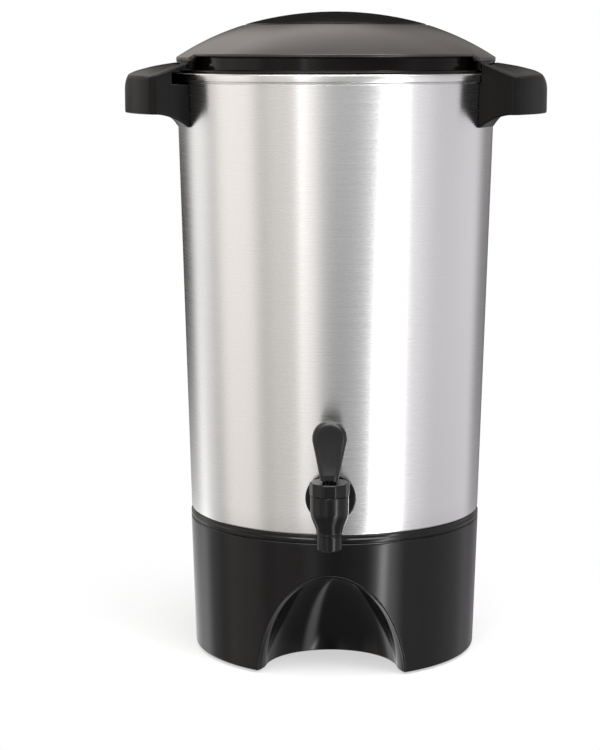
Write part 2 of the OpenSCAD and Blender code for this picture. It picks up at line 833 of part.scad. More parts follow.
// Stem with a flat tongue at its top, which the lever's pin goes through
tongue_half = 2;
stem_foot_rise = 4;
stem_foot_z = seat_z + stem_foot_rise;
module valve_stem() {
    tongue_z = bonnet_top_z - cam_lift * lever_tilt * PI / 180 - run_gap;
    color("#3a3a3c") on_valve_axis() difference() {
        union() {
            translate([0, 0, stem_foot_z]) cylinder(h = tongue_z - stem_foot_z, r = stem_r);
            intersection() {
                translate([0, 0, tongue_z]) cylinder(h = pin_z - tongue_z + stem_r, r = stem_r);
                translate([-tongue_half, -stem_r, tongue_z]) cube([2 * tongue_half, 2 * stem_r, lever_h]);
                union() {
                    rod_x(stem_r, -stem_r, stem_r, 0, pin_z);
                    translate([-stem_r, -stem_r, tongue_z])
                        cube([2 * stem_r, 2 * stem_r, pin_z - tongue_z]);
                }
            }
        }
        rod_x(pin_r, -bonnet_r, bonnet_r, 0, pin_z);
    }
}

// Soft plug on the stem's foot, which closes the nozzle
module seat_cup() {
    cup_r = valve_bore_r - 1.4;
    cup_top_z = seat_z + 8;
    lip_r = outlet_r - 0.2;
    slope = seat_rise / (valve_bore_r - outlet_r);
    color("#b9412f") on_valve_axis() difference() {
        rotate_extrude() polygon([
            [0, seat_z + run_gap], [lip_r, seat_z + run_gap],
            [cup_r, seat_z + run_gap + (cup_r - lip_r) * slope],
            [cup_r, cup_top_z], [0, cup_top_z]]);
        translate([0, 0, stem_foot_z]) cylinder(h = cup_top_z, r = stem_r);
    }
}

pin_proud = 0.2;
pin_half = lever_foot_half + pin_proud;
module lever_pin() {
    color("silver") on_valve_axis() rod_x(pin_r, -pin_half, pin_half, 0, pin_z);
}

// Lever: a round-headed paddle over a forked foot, with a heel that rolls on the bonnet and lifts the stem
// Front outline in X and Z, from the pin
module lever_front() {
    head_z = lever_h - pin_over_bonnet - lever_head_r;
    foot_z = 3 - pin_over_bonnet;
    low_z = -2 * pin_over_bonnet;
    neck_half = lever_foot_half - 1.3;
    reach = norm([lever_foot_half, foot_z - head_z]);
    touch = atan2(foot_z - head_z, lever_foot_half) + acos(lever_head_r / reach);
    polygon(concat(
        [[neck_half, low_z], [neck_half, foot_z - 1], [lever_foot_half, foot_z]],
        arc([0, head_z], lever_head_r, touch, 180 - touch, 24),
        [[-lever_foot_half, foot_z], [-neck_half, foot_z - 1], [-neck_half, low_z]]));
}

// Side outline, from the pin, with the front to the left: the heel is an involute, so the lift is even
module lever_side() {
    heel = pin_over_bonnet - run_gap;
    top = lever_h - pin_over_bonnet;
    half = lever_t / 2;
    steps = 8;
    round_r = half * 0.75;
    back = lever_foot_half - 0.4;
    polygon(concat(
        [[back, -heel]],
        [for (i = [0:steps]) let (a = lever_tilt * i / steps, p = heel + cam_lift * a * PI / 180)
            [-(p * sin(a) + cam_lift * cos(a)), -(p * cos(a) - cam_lift * sin(a))]],
        [[-back - 1.6, 2.5], [-half, 12]],
        arc([-half + round_r, top - round_r], round_r, 180, 90, 6),
        arc([half - round_r, top - round_r], round_r, 90, 0, 6),
        [[half, 12]]));
}

module spigot_lever() {
    slot_half = tongue_half + run_gap;
    wide = 2 * lever_head_r;
    swing_r = norm([stem_r, stem_r]) + run_gap;
    color("#19191b") translate([0, -valve_y, pin_z]) difference() {
        intersection() {
            translate([0, wide, 0]) rotate([90, 0, 0]) linear_extrude(2 * wide) lever_front();
            translate([-wide, 0, 0]) rotate([90, 0, 90]) linear_extrude(2 * wide) lever_side();
        }
        translate([-slot_half, -wide, -wide]) cube([2 * slot_half, 2 * wide, wide]);
        rod_x(swing_r, -slot_half, slot_half);
        rod_x(pin_r + pin_gap, -wide, wide);
    }
}

// Pump stem: a tube on a bell foot in the well, with a stop that carries the basket
basket_z = rim_z - basket_drop - basket_h;
module pump_stem() {
    bell_out = well_r - 0.8;
    bell_t = 1.2;
    bell_h = 12;
    bell_rim_h = 2;
    bore = pump_r - 1.1;
    stop_h = 3;
    stop_r = pump_r + 3.5;
    top_z = rim_z - pump_drop;
    color("gainsboro") rotate_extrude() polygon([
        [bore, well_bottom_z + bell_h - bell_t],
        [bell_out - bell_t, well_bottom_z + bell_rim_h - bell_t / 2],
        [bell_out - bell_t, well_bottom_z], [bell_out, well_bottom_z],
        [bell_out, well_bottom_z + bell_rim_h],
        [pump_r, well_bottom_z + bell_h], [pump_r, basket_z - stop_h], [stop_r, basket_z - stop_h],
        [stop_r, basket_z], [pump_r, basket_z], [pump_r, top_z], [bore, top_z]]);
}

// Rings of small holes through a flat sheet at a height
module sieve(z) {
    rings = [[0.25, 10], [0.45, 16], [0.65, 24], [0.85, 30]];
    for (k = rings) for (i = [0:k[1] - 1])
        rotate([0, 0, 360 * i / k[1]]) translate([basket_r * k[0], 0, z - over])
            cylinder(h = basket_wall + 2 * over, r = sieve_r, $fn = 16);
}

sleeve_r = pump_r + hole_gap;
module coffee_basket() {
    top_z = basket_z + basket_h;
    sleeve_t = 1;
    color("gainsboro") difference() {
        rotate_extrude() polygon([
            [sleeve_r, basket_z], [basket_r, basket_z], [basket_r, top_z], [basket_r - basket_wall, top_z],
            [basket_r - basket_wall, basket_z + basket_wall], [sleeve_r + sleeve_t, basket_z + basket_wall],
            [sleeve_r + sleeve_t, top_z - 2], [sleeve_r, top_z - 2]]);
        sieve(basket_z);
    }
}

module basket_lid() {
    top_z = basket_z + basket_h;
    lip_h = 4;
    lip_t = 1;
    lip_r = basket_r + hole_gap;
    color("gainsboro") difference() {
        rotate_extrude() polygon([
            [sleeve_r, top_z], [lip_r, top_z], [lip_r, top_z - lip_h], [lip_r + lip_t, top_z - lip_h],
            [lip_r + lip_t, top_z + basket_wall], [sleeve_r, top_z + basket_wall]]);
        sieve(top_z);
    }
}

// Lid: a seat ring on the rim, a dome that turns on it, and a cap
dome_r = tank_top_r - dome_inset;
dome_z = rim_z + dome_edge;
ear_out = 0.2;
ear_r = tank_top_r + ear_out;
cap_margin = 1.5;
cap_seat_r = cap_r + cap_margin;
cap_seat_z = dome_z + dome_rise;
cap_ledge_drop = 1;
cap_ledge_z = cap_seat_z - cap_ledge_drop;
chord = [dome_r - cap_seat_r, -dome_rise];
chord_half = norm(chord) / 2;
dome_sag = sqrt(dome_arc_r * dome_arc_r - chord_half * chord_half) / norm(chord);
dome_c = [(dome_r + cap_seat_r) / 2 + chord[1] * dome_sag, (dome_z + cap_seat_z) / 2 - chord[0] * dome_sag];

// Height of the dome's outer face at a radius, or of a face inside it by a skin
function dome_at(r, skin = 0) = dome_c[1] + sqrt(pow(dome_arc_r - skin, 2) - pow(r - dome_c[0], 2));
// Points along that face
function dome_line(from, to, skin = 0, steps = 10) =
    [for (i = [0:steps]) let (r = from + (to - from) * i / steps) [r, dome_at(r, skin)]];

upstand_r = tank_top_r - upstand_inset;
upstand_t = 2;
lid_flange_in = 1.6;
lid_flange_r = bead_r - lid_flange_in;
lid_flange_z = bead_z + sqrt(rim_bead_r * rim_bead_r - lid_flange_in * lid_flange_in) + run_gap;
lid_flange_t = 2.2;
module lid_seat_ring() {
    plug_r = bead_r - rim_bead_r - 2;
    plug_t = 2.2;
    plug_h = 10;
    flange_top_z = lid_flange_z + lid_flange_t;
    upstand_z = dome_at(upstand_r, dome_wall) - run_gap;
    color("#121214") rotate_extrude() polygon([
        [upstand_r - upstand_t, lid_flange_z], [plug_r - plug_t, lid_flange_z],
        [plug_r - plug_t, lid_flange_z - plug_h], [plug_r, lid_flange_z - plug_h], [plug_r, lid_flange_z],
        [lid_flange_r, lid_flange_z], [lid_flange_r, flange_top_z], [upstand_r, flange_top_z],
        [upstand_r, upstand_z], [upstand_r - upstand_t, upstand_z]]);
}

// A sector of a solid of revolution, centred on +X and on -X
module sectors(half_angle) {
    for (side = [0, 180]) rotate([0, 0, side - half_angle])
        rotate_extrude(angle = 2 * half_angle) children();
}

cap_ledge_w = 6.5;
cap_hole_r = cap_r - cap_ledge_w;
module lid_dome() {
    edge_t = 1.4;
    ledge_t = 2.2;
    guide_r = upstand_r - upstand_t - run_gap;
    guide_t = 2.2;
    guide_low_z = rim_z + 5;
    ear_low_z = handle_top_z + 2 * run_gap;
    leg_r = lid_flange_r + run_gap;
    color("#4b4a4d") union() {
        rotate_extrude() polygon(concat(
            [[cap_hole_r, cap_ledge_z - ledge_t], [cap_hole_r, cap_ledge_z], [cap_seat_r, cap_ledge_z]],
            dome_line(cap_seat_r, dome_r),
            [[dome_r, dome_z - edge_t]],
            dome_line(dome_r - 2, guide_r, dome_wall, 4),
            [[guide_r, guide_low_z], [guide_r - guide_t, guide_low_z]],
            dome_line(guide_r - guide_t, cap_seat_r + 1, dome_wall),
            [[cap_seat_r + 1, cap_ledge_z - ledge_t]]));
        sectors(ear_half_angle) polygon(concat(
            [[dome_r - 1, dome_z - 1]],
            dome_line(dome_r, ear_r, 0, 3),
            [[ear_r, ear_low_z], [dome_r - 1, ear_low_z]]));
        sectors(lug_half_angle) polygon([
            [leg_r, lug_z], [lug_r, lug_z], [lug_r, lug_z + lug_t], [ear_r - run_gap, lug_z + lug_t],
            [ear_r - run_gap, ear_low_z + 0.5], [leg_r, ear_low_z + 0.5]]);
    }
}

module lid_cap() {
    cap_edge_z = cap_seat_z + 0.6;
    skin = 2;
    arc_r = (cap_r * cap_r + cap_rise * cap_rise) / (2 * cap_rise);
    c_z = cap_edge_z + cap_rise - arc_r;
    snap_r = cap_hole_r - hole_gap;
    snap_t = 2.2;
    snap_low_z = cap_ledge_z - 5;
    steps = 10;
    color("#141416") rotate_extrude() polygon(concat(
        [for (i = [0:steps]) let (r = cap_r * i / steps) [r, c_z + sqrt(arc_r * arc_r - r * r)]],
        [[cap_r, cap_ledge_z], [snap_r, cap_ledge_z], [snap_r, snap_low_z], [snap_r - snap_t, snap_low_z]],
        [for (i = [steps:-1:0]) let (r = (snap_r - snap_t) * i / steps)
            [r, c_z + sqrt(pow(arc_r - skin, 2) - r * r)]]));
}

tank();
heating_well();
well_gasket();
well_ring();
pump_heater();
warming_heater();
thermostat();
thermal_fuse();
heat_shield();
shield_nut();
clamp_rod();
clamp_nut();
base_collar();
base_skirt();
bottom_cover();
cover_screws();
feet();
cord_bush();
inner_wires();
left_handle();
right_handle();
handle_screws();
handle_washers();
spigot_body();
spigot_gasket();
spigot_inner_washer();
shank_nut();
spigot_bonnet();
valve_stem();
seat_cup();
lever_pin();
spigot_lever();
pump_stem();
coffee_basket();
basket_lid();
lid_seat_ring();
lid_dome();
lid_cap();
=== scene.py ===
"""Looks of an electric coffee percolator urn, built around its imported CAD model.

Outlines and fields are in millimetres, as in the part's source; meshes are in metres.
The origin is on the table under the tank axis, +Z is up and the spigot faces -Y.
"""
import itertools
import json
import math

import bmesh
import bpy
import numpy as np
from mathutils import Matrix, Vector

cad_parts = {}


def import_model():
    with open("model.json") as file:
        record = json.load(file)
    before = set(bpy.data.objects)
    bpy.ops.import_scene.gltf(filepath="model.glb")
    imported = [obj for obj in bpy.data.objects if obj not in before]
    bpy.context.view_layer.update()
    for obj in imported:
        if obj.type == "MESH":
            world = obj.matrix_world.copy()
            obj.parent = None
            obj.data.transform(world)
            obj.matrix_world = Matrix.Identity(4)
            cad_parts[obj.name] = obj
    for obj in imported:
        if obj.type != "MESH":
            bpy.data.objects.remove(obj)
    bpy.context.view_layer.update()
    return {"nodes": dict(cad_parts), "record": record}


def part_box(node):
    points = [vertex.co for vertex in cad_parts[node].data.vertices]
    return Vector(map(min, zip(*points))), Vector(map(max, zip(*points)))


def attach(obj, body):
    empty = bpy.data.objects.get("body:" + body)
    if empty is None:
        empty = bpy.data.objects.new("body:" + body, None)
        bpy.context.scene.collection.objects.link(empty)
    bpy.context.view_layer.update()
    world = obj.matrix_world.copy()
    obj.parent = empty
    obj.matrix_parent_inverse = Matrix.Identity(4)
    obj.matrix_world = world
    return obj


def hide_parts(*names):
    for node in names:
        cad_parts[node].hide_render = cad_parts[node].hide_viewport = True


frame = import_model()

MM = 0.001
SLOT_OF = {part["node"]: part["material_slot"] for part in frame["record"]["subparts"]}
BODIES = frame["record"]["behaviour"]["bodies"]
BODY_OF = {node: body for body, nodes in BODIES.items() for node in nodes}


def box_mm(node):
    """Lowest and highest corner of a CAD node in millimetres."""
    return [np.array(corner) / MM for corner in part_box(node)]


# Shared sizes, read from the frame
tank_low, tank_high = box_mm("tank")
skirt_low, skirt_high = box_mm("base_skirt")
RIM_R = tank_high[0]
RIM_Z = tank_high[2]
TANK_Z = tank_low[2]
BEAD_R = 2.4
RIM_PROUD = 1.0
TOP_R = RIM_R - RIM_PROUD
WALL_TOP_Z = RIM_Z - 2 * BEAD_R
FOOT_R = 92.6
CORNER_R = 3.5
SHEET = 1.2
TAPER = (TOP_R - FOOT_R) / (WALL_TOP_Z - TANK_Z - CORNER_R)


def tank_r(z):
    """Outside radius of the tank's wall at a height."""
    return FOOT_R + (z - TANK_Z - CORNER_R) * TAPER


# Mesh helpers


def rounded(corners, steps=6):
    """Points of a closed outline from (x, y, radius) corners, each rounded off by its radius."""
    points = []
    for i, (x, y, radius) in enumerate(corners):
        here = np.array([x, y])
        if radius == 0:
            points.append(here)
            continue
        back = np.array(corners[i - 1][:2]) - here
        ahead = np.array(corners[(i + 1) % len(corners)][:2]) - here
        back_len, ahead_len = np.linalg.norm(back), np.linalg.norm(ahead)
        back, ahead = back / back_len, ahead / ahead_len
        half = math.acos(np.clip(back @ ahead, -1, 1)) / 2
        reach = min(radius / math.tan(half), 0.49 * back_len, 0.49 * ahead_len)
        radius = reach * math.tan(half)
        middle = (back + ahead) / np.linalg.norm(back + ahead)
        centre = here + middle * radius / math.sin(half)
        start, end = here + back * reach - centre, here + ahead * reach - centre
        from_angle = math.atan2(start[1], start[0])
        turn = (math.atan2(end[1], end[0]) - from_angle + math.pi) % (2 * math.pi) - math.pi
        for k in range(steps + 1):
            angle = from_angle + turn * k / steps
            points.append(centre + radius * np.array([math.cos(angle), math.sin(angle)]))
    return points


def arc(centre, radius, start, end, steps=12):
    """Points along an arc, angles in degrees, both ends included."""
    angles = np.radians(np.linspace(start, end, steps + 1))
    return [np.array(centre) + radius * np.array([math.cos(a), math.sin(a)]) for a in angles]


def add_mesh(name, vertices, faces):
    """A new object whose vertices are given in millimetres."""
    mesh = bpy.data.meshes.new(name)
    mesh.from_pydata((np.asarray(vertices) * MM).tolist(), [], faces)
    piece = bpy.data.objects.new(name, mesh)
    bpy.context.scene.collection.objects.link(piece)
    return piece


def clean(piece, sharp=35):
    """Joins doubled points, turns all faces outwards and shades smooth up to an angle."""
    join_mm = 0.002
    mesh = piece.data
    work = bmesh.new()
    work.from_mesh(mesh)
    bmesh.ops.remove_doubles(work, verts=work.verts, dist=join_mm * MM)
    bmesh.ops.recalc_face_normals(work, faces=work.faces)
    work.to_mesh(mesh)
    work.free()
    mesh.shade_smooth()
    mesh.set_sharp_from_angle(angle=math.radians(sharp))
    return piece


def ring_faces(steps, rings, count):
    """Faces over some steps from ring to ring, each ring a closed loop of count points."""
    faces = []
    for i, j in itertools.product(range(steps), range(count)):
        here, after, up = i * count, (i + 1) % rings * count, (j + 1) % count
        faces.append((here + j, after + j, after + up, here + up))
    return faces


def lathe(name, outline, segments=192):
    """Turns a closed outline of (radius, height) points about Z; it may depend on the angle."""
    angles = [2 * math.pi * i / segments for i in range(segments)]
    rings = [outline(a) if callable(outline) else outline for a in angles]
    count = len(rings[0])
    vertices = [(r * math.cos(a), r * math.sin(a), z) for a, ring in zip(angles, rings) for r, z in ring]
    return clean(add_mesh(name, vertices, ring_faces(segments, segments, count)))


def round_max(a, b, radius):
    """Common part of two distance fields, its edge rounded off by a radius."""
    corner = np.hypot(np.maximum(a + radius, 0), np.maximum(b + radius, 0))
    return np.minimum(-radius, np.maximum(a, b)) + corner


def round_min(a, b, radius):
    """Union of two distance fields, with a hollow of that radius where they meet."""
    return -round_max(-a, -b, radius)


def surface_net(name, field, low, high, step):
    """A smooth closed mesh of the surface on which field(x, y, z), in millimetres, is zero."""
    axes = [np.arange(a - 1.5 * step, b + 2.5 * step, step) for a, b in zip(low, high)]
    values = field(*np.meshgrid(*axes, indexing="ij"))
    cells = [len(a) - 1 for a in axes]
    nx, ny, nz = cells
    corners = np.array(list(itertools.product((0, 1), repeat=3)))
    stack = np.stack([values[i:i + nx, j:j + ny, k:k + nz] for i, j, k in corners], -1)
    filled = (stack < 0).sum(-1)
    mixed = (filled > 0) & (filled < 8)
    index = np.full(cells, -1)
    index[mixed] = np.arange(mixed.sum())
    place, stack = np.argwhere(mixed), stack[mixed]
    # Each point starts at the mean of the places where its cell's edges cross the surface
    total, crossings = np.zeros((len(place), 3)), np.zeros((len(place), 1))
    for a, b in itertools.combinations(range(8), 2):
        if np.abs(corners[a] - corners[b]).sum() == 1:
            cut = (stack[:, a] < 0) != (stack[:, b] < 0)
            share = stack[cut, a] / (stack[cut, a] - stack[cut, b])
            total[cut] += corners[a] + share[:, None] * (corners[b] - corners[a])
            crossings[cut] += 1
    points = np.array([a[0] for a in axes]) + (place + total / crossings) * step

    def slope(p, reach=0.05):
        shift = np.eye(3) * reach
        return np.stack([field(*(p + s).T) - field(*(p - s).T) for s in shift], -1) / (2 * reach)

    # Two steps along the slope bring each point onto the surface itself
    for _ in range(2):
        s = slope(points)
        move = field(*points.T)[:, None] * s / np.maximum((s * s).sum(-1, keepdims=True), 0.05)
        points -= np.clip(move, -step / 2, step / 2)
    faces = []
    for axis in range(3):
        one, two = (axis + 1) % 3, (axis + 2) % 3
        ends = [slice(1, n) for n in cells]
        ends[axis] = slice(0, cells[axis])
        next_ends = list(ends)
        next_ends[axis] = slice(1, cells[axis] + 1)
        start, end = values[tuple(ends)] < 0, values[tuple(next_ends)] < 0
        for flip in (False, True):
            at = np.argwhere((start != end) & (start == flip))
            at[:, [one, two]] += 1
            around = []
            for u, v in ((0, 0), (-1, 0), (-1, -1), (0, -1)):
                cell = at.copy()
                cell[:, one] += u
                cell[:, two] += v
                around.append(index[tuple(cell.T)])
            faces.append(np.stack(around[::-1] if not flip else around, -1))
    piece = add_mesh(name, points, np.concatenate(faces).tolist())
    piece.data.shade_smooth()
    normals = slope(points)
    normals /= np.linalg.norm(normals, axis=-1, keepdims=True)
    piece.data.normals_split_custom_set_from_vertices(normals.tolist())
    return piece


# Material helpers


def link(tree, source, target):
    tree.links.new(source, target)


def add_node(tree, kind, **settings):
    """A node with its properties set by name."""
    node = tree.nodes.new(kind)
    for key, value in settings.items():
        setattr(node, key, value)
    return node


def new_material(name):
    """An empty node material: its tree and its shader."""
    material = bpy.data.materials.new(name)
    material.use_nodes = True
    return material, material.node_tree, material.node_tree.nodes["Principled BSDF"]


def noise(tree, scale, stretch=(1, 1, 1), detail=3, rough=0.5):
    """Noise over the object's own coordinates, in metres, stretched along the axes."""
    coords = add_node(tree, "ShaderNodeTexCoord")
    mapping = add_node(tree, "ShaderNodeMapping")
    mapping.inputs["Scale"].default_value = stretch
    texture = add_node(tree, "ShaderNodeTexNoise")
    texture.inputs["Scale"].default_value = scale
    texture.inputs["Detail"].default_value = detail
    texture.inputs["Roughness"].default_value = rough
    link(tree, coords.outputs["Object"], mapping.inputs["Vector"])
    link(tree, mapping.outputs["Vector"], texture.inputs["Vector"])
    return texture.outputs[0]


def spread(tree, value, low, high, start=0.3, end=0.7, kind="LINEAR"):
    """The value's stretch from start to end, mapped to the stretch from low to high."""
    node = add_node(tree, "ShaderNodeMapRange", interpolation_type=kind)
    settings = {"From Min": start, "From Max": end, "To Min": low, "To Max": high}
    for key, number in settings.items():
        node.inputs[key].default_value = number
    link(tree, value, node.inputs["Value"])
    return node.outputs["Result"]


def shades(tree, value, dark, light, start=0.3, end=0.7):
    """A colour between two shades, by a value."""
    ramp = add_node(tree, "ShaderNodeValToRGB")
    for element, colour, place in zip(ramp.color_ramp.elements, (dark, light), (start, end)):
        element.color = (*colour, 1)
        element.position = place
    link(tree, value, ramp.inputs["Fac"])
    return ramp.outputs["Color"]


def bump(tree, shader, height, depth_mm):
    """Bump of a depth in millimetres on the shader."""
    node = add_node(tree, "ShaderNodeBump")
    node.inputs["Strength"].default_value = 1
    node.inputs["Distance"].default_value = depth_mm * MM
    link(tree, height, node.inputs["Height"])
    link(tree, node.outputs["Normal"], shader.inputs["Normal"])


def moulded_plastic(name, colour, gloss, grain_mm, grain_depth, wear, specular):
    """Moulded plastic: a little uneven in colour and gloss, with fine grain and faint marks."""
    cloud_scale, mark_scale, mark_stretch = 60, 210, (1, 1, 0.35)
    less, more = 1 - wear, 1 + wear
    material, tree, shader = new_material(name)
    dark = [c * less for c in colour]
    light = [c * more for c in colour]
    cloud = noise(tree, cloud_scale, detail=4)
    link(tree, shades(tree, cloud, dark, light), shader.inputs["Base Color"])
    marks = noise(tree, mark_scale, stretch=mark_stretch, detail=6, rough=0.65)
    link(tree, spread(tree, marks, gloss * less, gloss * more), shader.inputs["Roughness"])
    grain = noise(tree, 1 / (grain_mm * MM), detail=2, rough=0.6)
    bump(tree, shader, grain, grain_depth)
    shader.inputs["Specular IOR Level"].default_value = specular
    return material


def brushed_metal(name, dark, light, rough, anisotropy, lines_mm, line_depth):
    """Metal brushed around the Z axis: fine level lines in its colour, gloss and relief."""
    turn, smoother, rougher = 0.25, 0.93, 1.07
    fine_stretch, broad_stretch = (0.006, 0.006, 1), (0.02, 0.02, 1)
    broad_scale, broad_share = 0.12, 0.4
    line_span = (0.35, 0.65)
    material, tree, shader = new_material(name)
    shader.inputs["Metallic"].default_value = 1
    shader.inputs["Anisotropic"].default_value = anisotropy
    shader.inputs["Anisotropic Rotation"].default_value = turn
    around = add_node(tree, "ShaderNodeTangent", direction_type="RADIAL", axis="Z")
    link(tree, around.outputs["Tangent"], shader.inputs["Tangent"])
    fine = noise(tree, 1 / (lines_mm * MM), fine_stretch, detail=5, rough=0.7)
    broad = noise(tree, broad_scale / (lines_mm * MM), broad_stretch, detail=4, rough=0.6)
    both = add_node(tree, "ShaderNodeMix", data_type="FLOAT")
    both.inputs["Factor"].default_value = broad_share
    link(tree, fine, both.inputs["A"])
    link(tree, broad, both.inputs["B"])
    lines = both.outputs["Result"]
    link(tree, shades(tree, lines, dark, light, *line_span), shader.inputs["Base Color"])
    uneven = spread(tree, lines, rough * smoother, rough * rougher, *line_span)
    link(tree, uneven, shader.inputs["Roughness"])
    bump(tree, shader, fine, line_depth)
    return material


def satin_metal(name, dark, light, rough, spot_mm):
    """Plain sheet or plated metal: cloudy tone, uneven gloss and a faint orange peel."""
    smoother, rougher, peel_share, peel_depth = 0.8, 1.25, 4, 0.02
    material, tree, shader = new_material(name)
    shader.inputs["Metallic"].default_value = 1
    cloud = noise(tree, 1 / (spot_mm * MM), detail=5, rough=0.6)
    link(tree, shades(tree, cloud, dark, light), shader.inputs["Base Color"])
    link(tree, spread(tree, cloud, rough * smoother, rough * rougher), shader.inputs["Roughness"])
    bump(tree, shader, noise(tree, peel_share / (spot_mm * MM), detail=2), peel_depth)
    return material


def soft_rubber(name, colour, rough, grain_mm):
    """Rubber, silicone or dull ceramic: matt, with a soft sheen at its edges and a dusty bloom."""
    cloud_scale, bloom_share, bloom_lift = 140, 0.75, 0.012
    smoother, rougher, sheen, grain_depth = 0.9, 1.1, 0.15, 0.03
    material, tree, shader = new_material(name)
    cloud = noise(tree, cloud_scale, detail=4, rough=0.6)
    bloom = [bloom_share * c + bloom_lift for c in colour]
    link(tree, shades(tree, cloud, colour, bloom), shader.inputs["Base Color"])
    link(tree, spread(tree, cloud, rough * smoother, rough * rougher), shader.inputs["Roughness"])
    shader.inputs["Sheen Weight"].default_value = sheen
    bump(tree, shader, noise(tree, 1 / (grain_mm * MM), detail=2), grain_depth)
    return material


def woven_sleeve(name, dark, light):
    """Braided sleeve: two crossing sets of threads."""
    thread_scale, thread_depth, slant_angle = 260, 0.15, math.radians(45)
    material, tree, shader = new_material(name)
    coords = add_node(tree, "ShaderNodeTexCoord")
    threads = []
    for slant in (1, -1):
        mapping = add_node(tree, "ShaderNodeMapping")
        mapping.inputs["Rotation"].default_value = (slant * slant_angle, 0, slant * slant_angle)
        wave = add_node(tree, "ShaderNodeTexWave")
        wave.inputs["Scale"].default_value = thread_scale
        link(tree, coords.outputs["Object"], mapping.inputs["Vector"])
        link(tree, mapping.outputs["Vector"], wave.inputs["Vector"])
        threads.append(wave.outputs["Fac"])
    weave = add_node(tree, "ShaderNodeMath", operation="MULTIPLY")
    link(tree, threads[0], weave.inputs[0])
    link(tree, threads[1], weave.inputs[1])
    link(tree, shades(tree, weave.outputs[0], dark, light, 0.1, 0.8), shader.inputs["Base Color"])
    shader.inputs["Roughness"].default_value = 0.85
    bump(tree, shader, weave.outputs[0], thread_depth)
    return material


# Moulded plastics: colour, gloss, grain size and depth in millimetres, unevenness, specular level
PLASTICS = {
    "control_plastic": ((0.03, 0.03, 0.03), 0.5, 0.3, 0.02, 0.15, 0.5),
    "base_plastic": ((0.0055, 0.005, 0.0052), 0.13, 0.9, 0.002, 0.1, 0.26),
    "cover_plastic": ((0.016, 0.016, 0.017), 0.55, 0.5, 0.05, 0.15, 0.5),
    "handle_plastic": ((0.0085, 0.008, 0.0078), 0.25, 0.45, 0.002, 0.06, 0.07),
    "lid_plastic": ((0.024, 0.0205, 0.0205), 0.26, 0.4, 0.0008, 0.05, 0.5),
    "cap_plastic": ((0.0045, 0.004, 0.0038), 0.15, 1.2, 0.003, 0.15, 0.2),
    "ring_plastic": ((0.007, 0.0055, 0.005), 0.14, 1.0, 0.003, 0.15, 0.2),
    "spigot_plastic": ((0.006, 0.0057, 0.0058), 0.19, 0.8, 0.002, 0.1, 0.29),
    "lever_plastic": ((0.008, 0.0077, 0.0077), 0.34, 0.4, 0.01, 0.15, 0.4),
    "stem_plastic": ((0.03, 0.03, 0.032), 0.45, 0.4, 0.02, 0.15, 0.5),
}
# Plain metals: dark and light tone, roughness, size of the cloudy spots in millimetres
METALS = {
    "inner_metal": ((0.66, 0.66, 0.66), (0.80, 0.80, 0.80), 0.34, 6),
    "steel": ((0.50, 0.50, 0.51), (0.66, 0.66, 0.67), 0.30, 2),
    "heater_sheath": ((0.10, 0.095, 0.09), (0.22, 0.20, 0.19), 0.5, 3),
}
# Rubbers and ceramic: colour, roughness, grain size in millimetres
RUBBERS = {
    "fuse_ceramic": ((0.62, 0.54, 0.40), 0.6, 0.3),
    "silicone": ((0.50, 0.13, 0.085), 0.5, 0.5),
    "black_rubber": ((0.018, 0.018, 0.018), 0.75, 0.5),
}
FINISH = {name: moulded_plastic(name, *row) for name, row in PLASTICS.items()}
FINISH.update({name: satin_metal(name, *row) for name, row in METALS.items()})
FINISH.update({name: soft_rubber(name, *row) for name, row in RUBBERS.items()})
FINISH["tank_metal"] = brushed_metal("tank_metal", (0.869, 0.864, 0.864), (0.881, 0.876, 0.876),
                                     rough=0.27, anisotropy=0.68, lines_mm=0.25, line_depth=0.00045)
FINISH["wire_sleeve"] = woven_sleeve("wire_sleeve", (0.16, 0.05, 0.035), (0.42, 0.16, 0.11))


def dress(piece, node):
    """The piece stands for a CAD node: it rides on the node's body and takes the node's finish."""
    piece.data.materials.append(FINISH[SLOT_OF[node]])
    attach(piece, BODY_OF[node])
    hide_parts(node)


# Tank


def tank_outline():
    """Half section of the tank: floor, tapered wall, a fine groove and the rolled rim over it."""
    hole_r, groove, foot_r = 24.8, 0.5, 1.3
    foot_z = TANK_Z + foot_r
    foot = (tank_r(foot_z) - foot_r, foot_z)
    inner_corner = CORNER_R - SHEET
    corner = (FOOT_R - CORNER_R, TANK_Z + CORNER_R)
    roll_t, roll_lean, groove_h, rows = 1.0, 0.1, 1.2, 24
    roll_in, roll_low = RIM_R - 2 * BEAD_R, WALL_TOP_Z + roll_t
    wall_in = TOP_R - SHEET
    roll = rounded([(wall_in, WALL_TOP_Z, 0), (RIM_R - roll_lean, WALL_TOP_Z, 0.6), (RIM_R, RIM_Z, 0.8),
                    (roll_in, RIM_Z, 2.3), (roll_in, roll_low, 0.8), (wall_in, roll_low, 0)])
    outside_z = np.linspace(foot_z, WALL_TOP_Z - groove_h, rows)
    inside_z = np.linspace(WALL_TOP_Z, TANK_Z + CORNER_R, rows)
    wall = [np.array([tank_r(z), z]) for z in outside_z]
    inside = [np.array([tank_r(z) - SHEET, z]) for z in inside_z]
    return [np.array([hole_r, TANK_Z]), *arc(foot, foot_r, -90, 0, 6), *wall[1:],
            np.array([TOP_R - groove, WALL_TOP_Z - groove]), *roll[1:-1], *inside,
            *arc(corner, inner_corner, 0, -90), np.array([hole_r, TANK_Z + SHEET])]


dress(lathe("tank_shell", tank_outline(), segments=256), "tank")


# Base: skirt with the cup niche, collar and feet

NICHE_R = 41.3
NICHE_H = 66.0
NICHE_Y = 71.0
FLARE_R = 53.5
FLARE_H = 68.5
FLARE_Y = 105.0
NICHE_POWER = 1.6
NICHE_WALL = 2.6
SKIRT_WALL = 3.0
SKIRT_DRAFT = 2.5
BASE_Z = skirt_low[2]
BASE_H = skirt_high[2]
BASE_TOP_R = skirt_high[0]
SKIRT_SLOPE = SKIRT_DRAFT / (BASE_H - BASE_Z)


